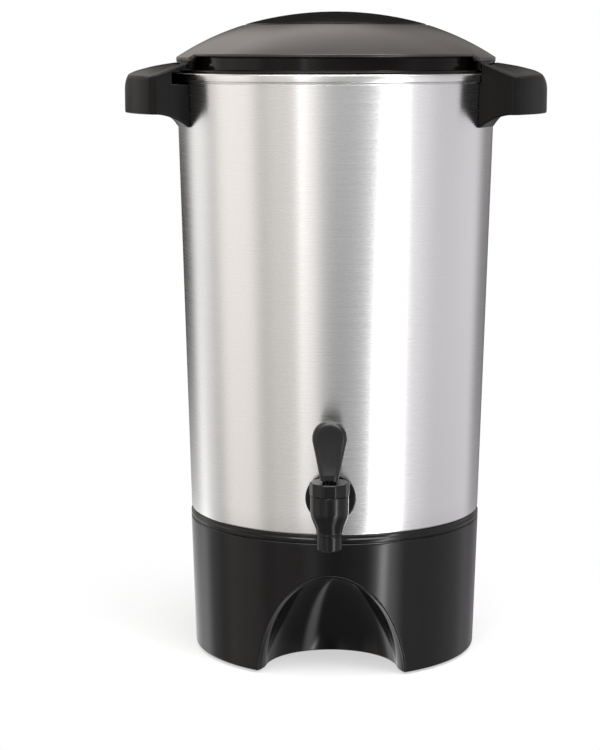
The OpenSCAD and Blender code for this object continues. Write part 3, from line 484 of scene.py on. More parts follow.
def skirt_r(z):
    """Outside radius of the skirt's wall at a height."""
    return BASE_TOP_R - (BASE_H - z) * SKIRT_SLOPE


def bell(x, y, z, at_y, radius, height):
    """Distance to a bell that stands on the table in front of the tank axis."""
    least = 1e-3
    away = np.hypot(x, y + at_y) / radius
    up = np.maximum(z, 0) / height
    slope = np.hypot(2 * away / radius, NICHE_POWER * up ** (NICHE_POWER - 1) / height)
    return (away ** 2 + up ** NICHE_POWER - 1) / np.maximum(slope, least)


def niche(x, y, z, wall=0):
    """Distance to the cup niche with its flared mouth, or to the outside of its wall."""
    meet_r = 3.0
    deep = bell(x, y, z, NICHE_Y, NICHE_R + wall, NICHE_H + wall)
    mouth = bell(x, y, z, FLARE_Y, FLARE_R + wall, FLARE_H + wall)
    return round_min(deep, mouth, meet_r)


def skirt_field(x, y, z):
    """Distance to the skirt: a tapered shell open below, with the niche let into its front."""
    flange_t, flange_in_r, rebate, cover_top_z = 3.0, 78.9, 1.2, 7.0
    edge_r, top_r, lip_r, inner_r = 1.6, 1.2, 0.6, 0.4
    r = np.hypot(x, y)
    outside = r - skirt_r(z)
    body = round_max(round_max(outside, BASE_Z - z, edge_r), z - BASE_H, top_r)
    step = np.where(z < cover_top_z, rebate, 0)
    room = np.maximum(outside + SKIRT_WALL - step, z - BASE_H + flange_t)
    room = np.minimum(room, np.maximum(r - flange_in_r, -z))
    room = round_max(room, -niche(x, y, z, NICHE_WALL), inner_r)
    shell = round_max(body, -room, inner_r)
    return round_max(shell, -niche(x, y, z), lip_r)


dress(surface_net("skirt_shell", skirt_field, skirt_low, skirt_high, step=0.85), "base_skirt")


def collar_outline():
    """Half section of the collar: a groove over the skirt, a slanted step and a round shoulder."""
    low, high = box_mm("base_collar")
    groove, inner_r, face_r = 0.5, 78.9, BASE_TOP_R
    step, step_z, step_r = 0.7, high[2] - 2.6, 0.2
    return rounded([(inner_r, low[2], 0), (BASE_TOP_R - groove, low[2], 0),
                    (BASE_TOP_R - groove, low[2] + groove, 0.2), (face_r, low[2] + groove, 0.35),
                    (face_r, step_z, step_r), (face_r - step, step_z + step, step_r),
                    (face_r - step, high[2], 0.6), (inner_r, high[2], 0)])


dress(lathe("collar_ring", collar_outline(), segments=256), "base_collar")


# Handles: one form, used twice, half a turn apart

handle_low, handle_high = box_mm("right_handle")
HANDLE_REACH = handle_high[0]
HANDLE_TOP_Z = handle_high[2]
HANDLE_FOOT_Z = handle_low[2]
HANDLE_LOW_Z = RIM_Z - 24.7
HANDLE_ROOT_HALF = 47.0
HANDLE_HALF_ANGLE = math.asin(HANDLE_ROOT_HALF / TOP_R)
HANDLE_CORNER_X = TOP_R + 10
HANDLE_MID_HALF = HANDLE_CORNER_X * math.tan(HANDLE_HALF_ANGLE)
HANDLE_BEND_X = TOP_R + 15
HANDLE_BEND_Z = RIM_Z + 4.5
HANDLE_CORNER_Z = RIM_Z - 1.8
HANDLE_CROWN_R = 240.0
HANDLE_OUTER_FALL = 0.29
HANDLE_WALL = 3.0
HANDLE_END_DEPTH = HANDLE_REACH - HANDLE_CORNER_X
HANDLE_END_R = (HANDLE_MID_HALF ** 2 + HANDLE_END_DEPTH ** 2) / (2 * HANDLE_END_DEPTH)


def handle_top(x, y, z):
    """Distance to the handle's top: a crown that falls outwards between webs up to the lid."""
    inner_fall = (HANDLE_TOP_Z - HANDLE_BEND_Z) / (HANDLE_BEND_X - TOP_R)
    bend_soft, web_fall, meet_r = 6.0, 0.45, 1.5
    past = x - HANDLE_BEND_X
    past = (past + np.hypot(past, bend_soft)) / 2
    ridge = HANDLE_TOP_Z - inner_fall * (x - TOP_R) - (HANDLE_OUTER_FALL - inner_fall) * past
    crown = np.minimum(ridge - y * y / (2 * HANDLE_CROWN_R), HANDLE_TOP_Z)
    web = np.minimum(HANDLE_CORNER_Z + web_fall * (HANDLE_CORNER_X - x), HANDLE_TOP_Z)
    return round_min(z - crown, (z - web) / math.hypot(1, web_fall), meet_r)


def handle_nose(x, z):
    """Distance to the rounded nose in which the outer fall of the top turns down into the end."""
    nose_r = 10.0
    fall = z - HANDLE_BEND_Z + HANDLE_OUTER_FALL * (x - HANDLE_BEND_X)
    return round_max(fall / math.hypot(1, HANDLE_OUTER_FALL), x - HANDLE_REACH, nose_r)


def handle_plan(x, y):
    """Distance to the plan of the handle: sides square to the tank's wall and a round end."""
    side = np.abs(y) * math.cos(HANDLE_HALF_ANGLE) - x * math.sin(HANDLE_HALF_ANGLE)
    end = np.hypot(x - HANDLE_REACH + HANDLE_END_R, y) - HANDLE_END_R
    return side, end


def handle_underside(x, y, z):
    """Distance to the underside: flat under the grip, then hollowed down to the tank's wall."""
    hollow_x, power, past_wall = TOP_R + 7, 1.5, 1.3
    wall_x = np.sqrt(np.maximum(tank_r(HANDLE_FOOT_Z) ** 2 - y * y, 1))
    share = np.clip((hollow_x - x) / (hollow_x - wall_x), 0, past_wall)
    drop = HANDLE_LOW_Z - HANDLE_FOOT_Z
    lean = drop * power * share ** (power - 1) / (hollow_x - wall_x)
    return (HANDLE_LOW_Z - drop * share ** power - z) / np.hypot(1, lean)


def handle_field(x, y, z):
    """Distance to the right handle, with its lock slot, finger pocket and seat on the tank."""
    edge_r, corner_r, under_r, pocket_r, pocket_lip, slot_lip = 1.9, 3.4, 1.2, 3, 0.8, 0.4
    slot_r, slot_low, slot_high, slot_start, slot_end = 106.0, RIM_Z - 6.8, RIM_Z + 2.4, -10, 60
    mouth_r, mouth_low, mouth_high, mouth_start = 111.0, RIM_Z - 6.3, RIM_Z + 0.6, 19
    pocket_x, seat_gap, rim_gap, foot_trim, inner_x = 109.0, 0.05, 0.2, 1.0, 60
    r = np.hypot(x, y)
    side, end = handle_plan(x, y)
    top = handle_top(x, y, z)
    plan = round_max(side, end, corner_r)
    solid = round_max(np.maximum(top, handle_nose(x, z)), plan, edge_r)
    solid = round_max(solid, handle_underside(x, y, z), under_r)
    pocket = round_max(side, end, pocket_r)
    pocket = round_max(pocket, pocket_x - HANDLE_WALL - x, pocket_r) + HANDLE_WALL
    pocket = round_max(pocket, top + HANDLE_WALL, pocket_r)
    solid = round_max(solid, -pocket, pocket_lip)
    angle = np.degrees(np.arctan2(y, x))

    def sector(radius, low, high, start):
        turn = np.maximum(start - angle, angle - slot_end) * np.radians(1) * slot_r
        return np.maximum(np.maximum(r - radius, turn), np.maximum(low - z, z - high))

    slot = np.minimum(sector(slot_r, slot_low, slot_high, slot_start),
                      sector(mouth_r, mouth_low, mouth_high, mouth_start))
    solid = round_max(solid, -slot, slot_lip)
    rim_relief = np.maximum(r - RIM_R - rim_gap, WALL_TOP_Z - rim_gap - z)
    solid = np.maximum(solid, -np.minimum(r - tank_r(z) - seat_gap, rim_relief))
    foot_cut = HANDLE_FOOT_Z + foot_trim - z
    return np.maximum(np.maximum(solid, foot_cut), inner_x - x)


def left_handle_field(x, y, z):
    """The right handle's distance, half a turn round."""
    return handle_field(-x, -y, z)


dress(surface_net("right_grip", handle_field, handle_low, handle_high, step=0.85), "right_handle")
dress(surface_net("left_grip", left_handle_field, *box_mm("left_handle"), step=0.85), "left_handle")


# Lid: seat ring, dome with two ears and their lugs, cap

dome_low, dome_high = box_mm("lid_dome")
cap_low, cap_high = box_mm("lid_cap")
ring_low, ring_high = box_mm("lid_seat_ring")
CAP_R = cap_high[0]
CAP_SEAT_R = CAP_R + 1.5
CAP_SEAT_Z = RIM_Z + 29.5
DOME_R = TOP_R - 3
DOME_Z = RIM_Z + 11.7
DOME_ARC_R = 170.0
DOME_WALL = 2.4
EAR_R = TOP_R + 0.2
EAR_HALF_ANGLE = 28.0
EAR_SKIRT_HALF_ANGLE = EAR_HALF_ANGLE - 1.5
EAR_UNDER_Z = 1.3
LUG_HALF_ANGLE = 8.0


def dome_centre():
    """Centre of the arc that the dome follows from the cap's seat to its edge."""
    span = np.array([DOME_R - CAP_SEAT_R, DOME_Z - CAP_SEAT_Z])
    length = np.linalg.norm(span)
    away = np.array([span[1], -span[0]]) / length
    middle = np.array([DOME_R + CAP_SEAT_R, DOME_Z + CAP_SEAT_Z]) / 2
    return middle + away * math.sqrt(DOME_ARC_R ** 2 - length ** 2 / 4)


DOME_C = dome_centre()


def dome_at(r, skin=0):
    """Height of the dome's outer face at a radius, or of a face inside it by a skin."""
    return DOME_C[1] + math.sqrt((DOME_ARC_R - skin) ** 2 - (r - DOME_C[0]) ** 2)


def dome_line(start, end, skin=0, steps=14):
    """Points along a face of the dome."""
    return [np.array([r, dome_at(r, skin)]) for r in np.linspace(start, end, steps + 1)]


def ease(value):
    """A smooth step from 0 to 1."""
    value = min(max(value, 0), 1)
    return value * value * (3 - 2 * value)


def dome_outline(angle):
    """Half section of the dome at an angle: its edge reaches further out and down in the ears."""
    ear_ramp, ear_gap, ear_w, rim_w = 1.2, 0.6, 2, 6
    edge_t, edge_r, edge_w, inner_r = 1.4, 0.45, 1.9, 0.3
    ledge_t, ledge_drop, ledge_gap, seat_edge = 2.2, 1.0, 0.1, 0.25
    hole_r, inner_seat_r = CAP_R - 6.5, CAP_SEAT_R + 1
    guide_r, guide_t, guide_z = TOP_R - 11.3, 2.2, RIM_Z + 5
    ear_t = dome_at(EAR_R) - HANDLE_TOP_Z - ear_gap
    off = abs((math.degrees(angle) + 90) % 180 - 90)
    ear = ease((EAR_HALF_ANGLE + ear_ramp - off) / ear_ramp)
    edge = DOME_R + (EAR_R - DOME_R) * ear
    low = dome_at(edge) - edge_t - (ear_t - edge_t) * ear
    edge_in, rim_start = edge - edge_w - ear_w * ear, edge - rim_w
    rim = rounded([(rim_start, dome_at(rim_start), 0), (edge, dome_at(edge), edge_r), (edge, low, edge_r),
                   (edge_in, low, inner_r), (edge_in, dome_at(edge_in, DOME_WALL), inner_r)], 4)
    ledge_z = CAP_SEAT_Z - ledge_drop
    ledge_low = ledge_z - ledge_t
    ledge = [(hole_r, ledge_low), (hole_r, ledge_z), (CAP_SEAT_R - ledge_gap, ledge_z),
             (CAP_SEAT_R, CAP_SEAT_Z - seat_edge)]
    over = dome_line(CAP_SEAT_R + seat_edge, rim_start - 1)
    under = dome_line(DOME_R - 3, guide_r, DOME_WALL, 3)
    guide = [(guide_r, guide_z), (guide_r - guide_t, guide_z)]
    inside = dome_line(guide_r - guide_t, inner_seat_r, DOME_WALL, 8)
    return [*ledge, *over, *rim[:-1], *under, *guide, *inside, (inner_seat_r, ledge_low)]


dress(lathe("dome", dome_outline, segments=600), "lid_dome")


def ear_part(name, section, side, half_angle, steps, finish):
    """A piece under an ear: a section of (radius, height) points, turned over a sector."""
    angles = np.radians(np.linspace(side - half_angle, side + half_angle, steps + 1))
    count = len(section)
    vertices = [(r * math.cos(a), r * math.sin(a), z) for a in angles for r, z in section]
    faces = ring_faces(steps, steps + 1, count)
    last = steps * count
    faces += [tuple(range(count)), tuple(range(last, last + count))]
    piece = clean(add_mesh(name, vertices, faces))
    piece.data.materials.append(FINISH[finish])
    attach(piece, "lid")


def lug_section():
    """L-shaped section of a locking lug."""
    low_z, thick, top_z = dome_low[2], 1.8, dome_at(EAR_R) - EAR_UNDER_Z
    leg_in, leg_out, tip = ring_high[0] + 0.3, EAR_R - 0.3, dome_high[0]
    return rounded([(leg_in, low_z, 0.2), (tip, low_z, 0.3), (tip, low_z + thick, 0.3),
                    (leg_out, low_z + thick, 0.4), (leg_out, top_z, 0), (leg_in, top_z, 0)], 3)


def ear_skirt_section():
    """Section of the skirt that closes the gap between an ear and the rim."""
    low_z, top_z = RIM_Z + 2.7, dome_at(EAR_R) - EAR_UNDER_Z
    skirt_in, skirt_out, edge_r = ring_high[0] + 0.6, EAR_R - 0.6, 0.3
    return rounded([(skirt_in, low_z, edge_r), (skirt_out, low_z, edge_r),
                    (skirt_out, top_z, 0), (skirt_in, top_z, 0)], 3)


for ear_name, ear_side in (("right", 0), ("left", 180)):
    ear_part("lug_" + ear_name, lug_section(), ear_side, LUG_HALF_ANGLE, 16, "lid_plastic")
    ear_part("ear_skirt_" + ear_name, ear_skirt_section(), ear_side, EAR_SKIRT_HALF_ANGLE, 40,
             "cap_plastic")


def cap_outline():
    """Half section of the cap: a shallow crown, a rounded edge and a snap ring below."""
    edge_z, low_z = CAP_SEAT_Z + 0.6, CAP_SEAT_Z - 1.0
    rise = cap_high[2] - edge_z
    crown_r = (CAP_R ** 2 + rise ** 2) / (2 * rise)
    crown_z = cap_high[2] - crown_r
    skin, snap_r, snap_t, snap_z = 2.0, CAP_R - 6.8, 2.2, cap_low[2]
    inner, edge_w, edge_r = snap_r - snap_t, 1.6, 0.3

    def crown(r, radius):
        return np.array([r, crown_z + math.sqrt(radius ** 2 - r ** 2)])

    over = [crown(r, crown_r) for r in np.linspace(0, CAP_R - edge_w, 20)]
    under = [crown(r, crown_r - skin) for r in np.linspace(inner, 0, 14)]
    edge = rounded([(CAP_R - 3, over[-1][1], 0), (CAP_R, edge_z, edge_r),
                    (CAP_R, low_z, edge_r), (snap_r, low_z, 0)], 5)
    return [*over, *edge[1:], (snap_r, snap_z), (inner, snap_z), *under]


dress(lathe("cap", cap_outline(), segments=192), "lid_cap")


def seat_ring_outline():
    """Half section of the seat ring: plug inside the rim, flange on it, and an upstand."""
    flange_z, flange_t, flange_r = ring_low[2] + 10, 2.2, ring_high[0]
    upstand_r, upstand_t, plug_r, plug_t = TOP_R - 9, 2.0, 94.2, 2.2
    top, upstand_in, plug_in = flange_z + flange_t, upstand_r - upstand_t, plug_r - plug_t
    return rounded([(upstand_in, flange_z, 0), (plug_in, flange_z, 0.4), (plug_in, ring_low[2], 0.6),
                    (plug_r, ring_low[2], 0.6), (plug_r, flange_z, 0.3), (flange_r, flange_z, 0.4),
                    (flange_r, top, 0.7), (upstand_r, top, 0.6), (upstand_r, ring_high[2], 0.3),
                    (upstand_in, ring_high[2], 0.3)], 4)


dress(lathe("seat_ring", seat_ring_outline(), segments=256), "lid_seat_ring")


# Spigot: body, bonnet and lever about the valve axis

bonnet_low, bonnet_high = box_mm("spigot_bonnet")
body_low, body_high = box_mm("spigot_body")
VALVE_Y = -(bonnet_low[1] + bonnet_high[1]) / 2
gasket_low, gasket_high = box_mm("spigot_gasket")
SPIGOT_Z = (gasket_low[2] + gasket_high[2]) / 2
FLANGE_R = body_high[0]
FLANGE_Y = -tank_r(SPIGOT_Z) - 2.4
VALVE_R = 11.4
NOZZLE_R = 7.6
NECK_R = 9.0
NECK_H = 6.0
FAR = 1e3


def spigot_field(x, y, z):
    """Distance to the spigot's body: chamber, funnel, nozzle, arm and flange, with the bores."""
    straight_z, funnel_z, funnel_lean, bead_in, bead_r = SPIGOT_Z - 3, SPIGOT_Z - 16.5, 0.93, 0.25, 0.6
    arm_r, flange_t, shank_r, shank_end = 7.8, 2.6, 7.0, FLANGE_Y + 20.4
    outlet_r, seat_z, seat_h, chamber_r, drain_r = 4.6, SPIGOT_Z - 10.5, 2.5, 8.0, 4.5
    bead_meet, arm_meet, flange_meet, top_clear = 0.4, 2.2, 1.8, 1.2
    top_edge, nozzle_edge, flange_edge, bore_lip = 0.5, 0.8, 0.9, 0.5
    top_z = bonnet_low[2]
    r = np.hypot(x, y + VALVE_Y)
    share = np.clip((z - funnel_z) / (straight_z - funnel_z), 0, 1)
    wide = NOZZLE_R + (VALVE_R - NOZZLE_R) * (1 - np.cos(math.pi * share)) / 2
    bead = np.hypot(r - NOZZLE_R + bead_in, z - funnel_z) - bead_r
    chamber = round_min((r - wide) * funnel_lean, bead, bead_meet)
    chamber = round_max(round_max(chamber, z - top_z, top_edge), body_low[2] - z, nozzle_edge)
    across = np.hypot(x, z - SPIGOT_Z)
    arm = np.maximum(across - arm_r, np.maximum(-VALVE_Y - y, y - FLANGE_Y))
    flange = np.abs(y - FLANGE_Y + flange_t / 2) - flange_t / 2
    flange = round_max(across - FLANGE_R, flange, flange_edge)
    solid = round_min(chamber, arm, arm_meet)
    solid = np.maximum(solid, np.where(r < VALVE_R + top_clear, z - top_z, -FAR))
    solid = round_min(solid, flange, flange_meet)
    neck = np.maximum(r - NECK_R, np.abs(z - top_z - NECK_H / 2) - NECK_H / 2)
    shank = np.maximum(across - shank_r, np.maximum(FLANGE_Y - 1 - y, y - shank_end))
    solid = np.minimum(np.minimum(solid, neck), shank)
    bore_r = np.interp(z, [seat_z, seat_z + seat_h], [outlet_r, chamber_r])
    bore = np.maximum(r - bore_r, body_low[2] - 2 - z)
    drain = np.maximum(across - drain_r, -VALVE_Y - y)
    return round_max(solid, -np.minimum(bore, drain), bore_lip)


dress(surface_net("spigot_shell", spigot_field, body_low, body_high, step=0.6), "spigot_body")


def bonnet_field(x, y, z):
    """Distance to the ten-sided bonnet with its softened edges and bores."""
    sides, corner_r = 10, bonnet_high[0]
    flat = corner_r * math.cos(math.pi / sides)
    stem_r, facet_edge, top_edge, low_edge, bore_lip = 3.05, 0.5, 1.0, 0.5, 0.25
    away = y + VALVE_Y
    r = np.hypot(x, away)
    walls = None
    for i in range(sides):
        a = 2 * math.pi * (i + 0.5) / sides
        wall = x * math.cos(a) + away * math.sin(a) - flat
        walls = wall if walls is None else round_max(walls, wall, facet_edge)
    solid = round_max(round_max(walls, z - bonnet_high[2], top_edge), bonnet_low[2] - z, low_edge)
    bore = np.minimum(r - stem_r, np.maximum(r - NECK_R, z - bonnet_low[2] - NECK_H))
    return round_max(solid, -bore, bore_lip)


dress(surface_net("bonnet_cap", bonnet_field, bonnet_low, bonnet_high, step=0.5), "spigot_bonnet")

lever_low, lever_high = box_mm("spigot_lever")
PIN_Z = bonnet_high[2] + 7
LEVER_HEAD_R = lever_high[0]
LEVER_FOOT_HALF = 5.5
LEVER_T = 9.0
LEVER_TILT = 40.0
CAM_LIFT = 4.0


def lever_front(x, z):
    """Distance to the lever's front outline: a round head over sides that taper to the foot."""
    head_z, foot_z = lever_high[2] - PIN_Z - LEVER_HEAD_R, -4.0
    rise = head_z - foot_z
    reach = math.hypot(LEVER_FOOT_HALF, rise)
    lean = math.acos(LEVER_HEAD_R / reach) - math.atan2(rise, LEVER_FOOT_HALF)
    across, up = math.cos(lean), math.sin(lean)
    side = np.abs(x) * across + (z - head_z) * up - LEVER_HEAD_R
    along = -np.abs(x) * up + (z - head_z) * across
    return np.where(along > 0, np.hypot(x, z - head_z) - LEVER_HEAD_R, side)


def lever_field(x, y, z):
    """Distance to the lever, from its pin: a paddle with softened edges over a forked heel."""
    heel, back, pin_r = 6.7, 5.1, 1.35
    slot_half, swing_r, foot_step, step_half = 2.3, 4.55, -5.0, 4.2
    stem_room, tilt = 3.3, math.radians(LEVER_TILT)
    flare, flare_top, chin, thinner = 0.0085, 22.0, 8.6, 0.6
    front_r, back_r, slot_lip, heel_steps = 3.2, 1.8, 0.3, 9
    y, z = y + VALVE_Y, z - PIN_Z
    front_y = np.maximum(thinner - LEVER_T / 2 - flare * np.maximum(flare_top - z, 0) ** 2, -chin)
    back_y = np.interp(z, [-6, 12, 22], [back, LEVER_T / 2, LEVER_T / 2 - 0.3])
    outline = lever_front(x, z)
    solid = round_max(outline, front_y - y, front_r)
    solid = round_max(solid, y - back_y, back_r)
    solid = np.maximum(solid, np.where(z < foot_step, np.abs(x) - step_half, -FAR))
    # The heel rolls on the bonnet: it stays above the bonnet's top at each tilt
    for a in np.linspace(0, tilt, heel_steps):
        solid = np.maximum(solid, -(heel + CAM_LIFT * a) - y * math.sin(a) - z * math.cos(a))
    # The slot leaves room for the stem up to the full tilt
    stem_way = np.maximum(z, z * math.sin(tilt) - y * math.cos(tilt) - stem_room)
    room = np.minimum(stem_way, np.hypot(y, z) - swing_r)
    slot = np.maximum(np.abs(x) - slot_half, room)
    return np.maximum(round_max(solid, -slot, slot_lip), pin_r - np.hypot(y, z))


CHIN_ROOM = np.array([0, 2, 0])
paddle = surface_net("lever_paddle", lever_field, lever_low - CHIN_ROOM, lever_high, step=0.45)
dress(paddle, "spigot_lever")


# The other CAD nodes keep their shape and take their own finish; those listed in EDGE_MM also get
# softened edges

REPLACED = {"tank", "base_skirt", "base_collar", "right_handle", "left_handle", "lid_dome", "lid_cap",
            "lid_seat_ring", "spigot_body", "spigot_bonnet", "spigot_lever"}
EDGE_MM = {"feet": 0.6, "cord_bush": 0.7, "bottom_cover": 0.4, "cover_screws": 0.3,
           "handle_screws": 0.4, "shank_nut": 0.4, "clamp_nut": 0.3, "coffee_basket": 0.25,
           "pump_stem": 0.3, "basket_lid": 0.25}
for node_name, node_object in frame["nodes"].items():
    if node_name in REPLACED:
        continue
    node_object.data.materials.clear()
    node_object.data.materials.append(FINISH[SLOT_OF[node_name]])
    if node_name in EDGE_MM:
        soften = node_object.modifiers.new("soften", "BEVEL")
        soften.width = EDGE_MM[node_name] * MM
        soften.segments = 2
        soften.limit_method = "ANGLE"
        soften.angle_limit = math.radians(40)
        soften.harden_normals = True


# Studio: floor, light cards around the object, camera

scene = bpy.context.scene
scene.view_settings.view_transform = "Standard"
# The camera stands a little to the right of the spigot's front, and the light turns with it
CAMERA_AZIMUTH = math.radians(1.4)


def floor():
    """A pale, slightly glossy table top that runs out into white."""
    radius, sides, near, far, near_glow = 0.48, 96, 0.10, 0.26, 0.55
    angles = [2 * math.pi * i / sides for i in range(sides)]
    ring = [(radius * math.cos(a), radius * math.sin(a), 0) for a in angles]
    piece = add_mesh("floor", np.array(ring) / MM, [tuple(range(sides))])
    material, tree, shader = new_material("pale_table")
    tone = shades(tree, noise(tree, 8), (0.86, 0.86, 0.86), (0.89, 0.89, 0.89))
    link(tree, tone, shader.inputs["Base Color"])
    shader.inputs["Roughness"].default_value = 0.2
    coords = add_node(tree, "ShaderNodeTexCoord")
    away = add_node(tree, "ShaderNodeVectorMath", operation="LENGTH")
    link(tree, coords.outputs["Object"], away.inputs[0])
    glow = add_node(tree, "ShaderNodeEmission")
    mix = add_node(tree, "ShaderNodeMixShader")
    link(tree, spread(tree, away.outputs["Value"], near_glow, 1, near, far), mix.inputs["Fac"])
    link(tree, shader.outputs["BSDF"], mix.inputs[1])
    link(tree, glow.outputs["Emission"], mix.inputs[2])
    link(tree, mix.outputs["Shader"], tree.nodes["Material Output"].inputs["Surface"])
    piece.data.materials.append(material)
    piece.visible_glossy = False


floor()

# Light cards: centre, half width and soft edge in degrees of azimuth, brightness, tint and stand.
# Azimuth is 0 on the camera's side and positive to the right
WARM = (1.0, 0.943, 0.88)
WHITE = (1.0, 1.0, 1.0)
COOL = (0.99, 0.95, 1.0)
CARDS = (
    (0, 132, 8, 0.20, WHITE, "wall"),
    (0, 9, 6, 0.28, WHITE, "upper"),
    (72, 60, 10, 0.15, COOL, "right"),
    (53.9, 2.8, 2.7, 8.5, WHITE, "key"),
    (54, 14, 10, 0.3, WHITE, "key"),
    (42, 10, 7, 2.6, WHITE, "table"),
    (44, 5, 3, 14.0, WHITE, "boom"),
    (0, 75, 20, 3.2, WHITE, "boom"),
    (64, 8, 10, 0.17, COOL, "wall"),
    (95, 42, 12, 0.35, COOL, "right"),
    (152, 14, 10, 0.18, COOL, "wall"),
    (18, 10, 8, 0.10, WHITE, "wall"),
    (-71, 57, 8, 0.15, WARM, "wall"),
    (-24.5, 1.8, 1.4, 1.9, WHITE, "upper"),
    (-18, 5, 5, 0.38, WHITE, "wall"),
    (-30, 23, 8, 0.33, WARM, "wall"),
    (-78, 19, 8, 0.61, WARM, "wall"),
    (-120, 16, 10, 0.36, WHITE, "wall"),
    (-150, 28, 8, 0.9, WHITE, "table"),
    (150, 22, 10, 0.25, COOL, "table"),
)


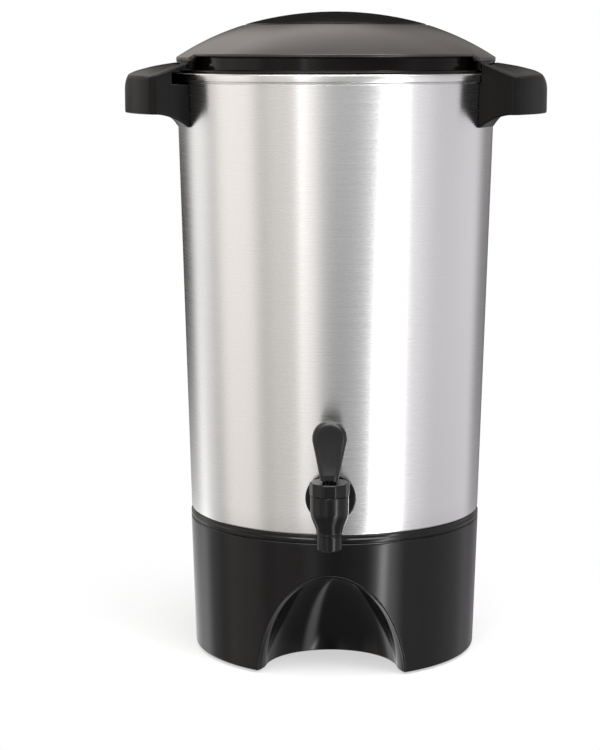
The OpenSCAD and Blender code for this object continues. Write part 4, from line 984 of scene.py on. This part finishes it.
def world():
    """Soft light cards all round, a bright wall behind and overhead; the camera itself sees white."""
    base, wall_glow, overhead, table_glow, key_lean = 0.02, 1.6, 0.35, 0.25, 48
    white_card = (1, 1, 1, 1)
    studio = bpy.data.worlds.new("studio")
    scene.world = studio
    studio.use_nodes = True
    tree = studio.node_tree
    tree.nodes.clear()
    coords = add_node(tree, "ShaderNodeTexCoord")
    axes = add_node(tree, "ShaderNodeSeparateXYZ")
    square = add_node(tree, "ShaderNodeMapping")
    square.inputs["Rotation"].default_value = (0, 0, -CAMERA_AZIMUTH)
    link(tree, coords.outputs["Generated"], square.inputs["Vector"])
    link(tree, square.outputs["Vector"], axes.inputs["Vector"])
    forward = add_node(tree, "ShaderNodeMath", operation="MULTIPLY")
    forward.inputs[1].default_value = -1
    link(tree, axes.outputs["Y"], forward.inputs[0])
    angle = add_node(tree, "ShaderNodeMath", operation="ARCTAN2")
    link(tree, axes.outputs["X"], angle.inputs[0])
    link(tree, forward.outputs[0], angle.inputs[1])
    azimuth = add_node(tree, "ShaderNodeMath", operation="DEGREES")
    link(tree, angle.outputs[0], azimuth.inputs[0])

    def fade(value, start, end, high, low=0, kind="SMOOTHSTEP"):
        return spread(tree, value, low, high, start, end, kind)

    def maths(kind, one, two):
        node = add_node(tree, "ShaderNodeMath", operation=kind)
        for value, socket in zip((one, two), node.inputs):
            if isinstance(value, (int, float)):
                socket.default_value = value
            else:
                link(tree, value, socket)
        return node.outputs[0]

    def times(one, two):
        return maths("MULTIPLY", one, two)

    # Where the cards stand, by the height of the direction they lie in
    up = axes.outputs["Z"]
    below_ceiling = fade(up, 0.5, 0.15, 1)
    over_table = fade(up, -0.62, -0.42, 1)
    brighter_upwards = fade(up, -0.5, -0.02, 1.16, 0.55, "LINEAR")
    dim_above_horizon = fade(up, 0.10, -0.10, 1, 0.3)
    boom_low, boom_high = fade(up, 0.5, 0.6, 1), fade(up, 0.95, 0.8, 1)
    reach = {"wall": times(times(below_ceiling, over_table), brighter_upwards),
             "right": times(over_table, times(dim_above_horizon, brighter_upwards)),
             "upper": times(below_ceiling, fade(up, -0.32, 0.04, 1)),
             "key": times(over_table, fade(up, 0.0, -0.16, 1)),
             "boom": times(boom_low, boom_high),
             "table": fade(up, -0.12, -0.30, 1)}
    # The key card leans: it stands further to the left the lower it is
    leaning = maths("SUBTRACT", azimuth.outputs[0], times(up, key_lean))
    parts = []
    for centre, half, soft, glow, tint, stand in CARDS:
        far = maths("SUBTRACT", leaning if stand == "key" else azimuth.outputs[0], centre)
        far = maths("ABSOLUTE", far, 0)
        parts.append((times(fade(far, half + soft, max(half - soft, 0), glow), reach[stand]), tint))
    # The wall behind: bright high up and to both sides, dark behind the lid, brighter to the left
    across = axes.outputs["X"]
    beside_lid = fade(maths("ABSOLUTE", across, 0), 0.11, 0.18, 1)
    rising = times(fade(up, -0.06, 0.02, 1), fade(up, 0.2, 0.55, 0.70, 0.32, "LINEAR"))
    shape = maths("MAXIMUM", fade(up, 0.54, 0.60, 1), times(beside_lid, rising))
    balance = times(fade(across, 0.32, -0.10, 1.05, 0.3), fade(up, 0.88, 0.6, 1, 0.35))
    behind = fade(axes.outputs["Y"], 0.0, 0.5, wall_glow)
    parts.append((times(times(behind, shape), balance), WARM))
    parts.append((fade(up, 0.4, 1.0, overhead), WHITE))
    parts.append((fade(up, -0.42, -0.65, table_glow), WHITE))
    total = None
    for glow, tint in parts:
        colour = add_node(tree, "ShaderNodeVectorMath", operation="SCALE")
        colour.inputs[0].default_value = tint
        link(tree, glow, colour.inputs["Scale"])
        add = add_node(tree, "ShaderNodeVectorMath", operation="ADD")
        link(tree, colour.outputs["Vector"], add.inputs[0])
        if total is None:
            add.inputs[1].default_value = (base, base, base)
        else:
            link(tree, total, add.inputs[1])
        total = add.outputs["Vector"]
    cards = add_node(tree, "ShaderNodeBackground")
    link(tree, total, cards.inputs["Color"])
    white = add_node(tree, "ShaderNodeBackground")
    white.inputs["Color"].default_value = white_card
    path = add_node(tree, "ShaderNodeLightPath")
    mix = add_node(tree, "ShaderNodeMixShader")
    link(tree, path.outputs["Is Camera Ray"], mix.inputs["Fac"])
    link(tree, cards.outputs["Background"], mix.inputs[1])
    link(tree, white.outputs["Background"], mix.inputs[2])
    output = add_node(tree, "ShaderNodeOutputWorld")
    link(tree, mix.outputs["Shader"], output.inputs["Surface"])


world()


def area_light(name, place, aim, size, power):
    """A soft box at a place, aimed at a point, both in metres."""
    lamp = bpy.data.lights.new(name, "AREA")
    lamp.shape = "RECTANGLE"
    lamp.size, lamp.size_y = size
    lamp.energy = power
    holder = bpy.data.objects.new(name, lamp)
    scene.collection.objects.link(holder)
    holder.location = place
    direction = np.array(aim) - np.array(place)
    flat = math.hypot(direction[0], direction[1])
    tip, turn = math.atan2(flat, -direction[2]), math.atan2(-direction[0], direction[1])
    holder.rotation_euler = (tip, 0, turn)


area_light("top_box", place=(0.1, -0.45, 1.7), aim=(0, -0.2, 0), size=(1.5, 1.0), power=30)


def camera():
    """The photograph's viewpoint: a long lens a little over the rim, with the urn off centre."""
    lens_mm, distance, height, pitch, turn = 99.31, 1.317, 0.3858, 80.93, 0.977
    data = bpy.data.cameras.new("camera")
    data.lens = lens_mm
    data.sensor_width = 36
    holder = bpy.data.objects.new("camera", data)
    aside, ahead = math.sin(CAMERA_AZIMUTH), math.cos(CAMERA_AZIMUTH)
    holder.location = (distance * aside, -distance * ahead, height)
    holder.rotation_euler = (math.radians(pitch), 0, math.radians(turn) + CAMERA_AZIMUTH)
    scene.collection.objects.link(holder)
    scene.camera = holder


camera()
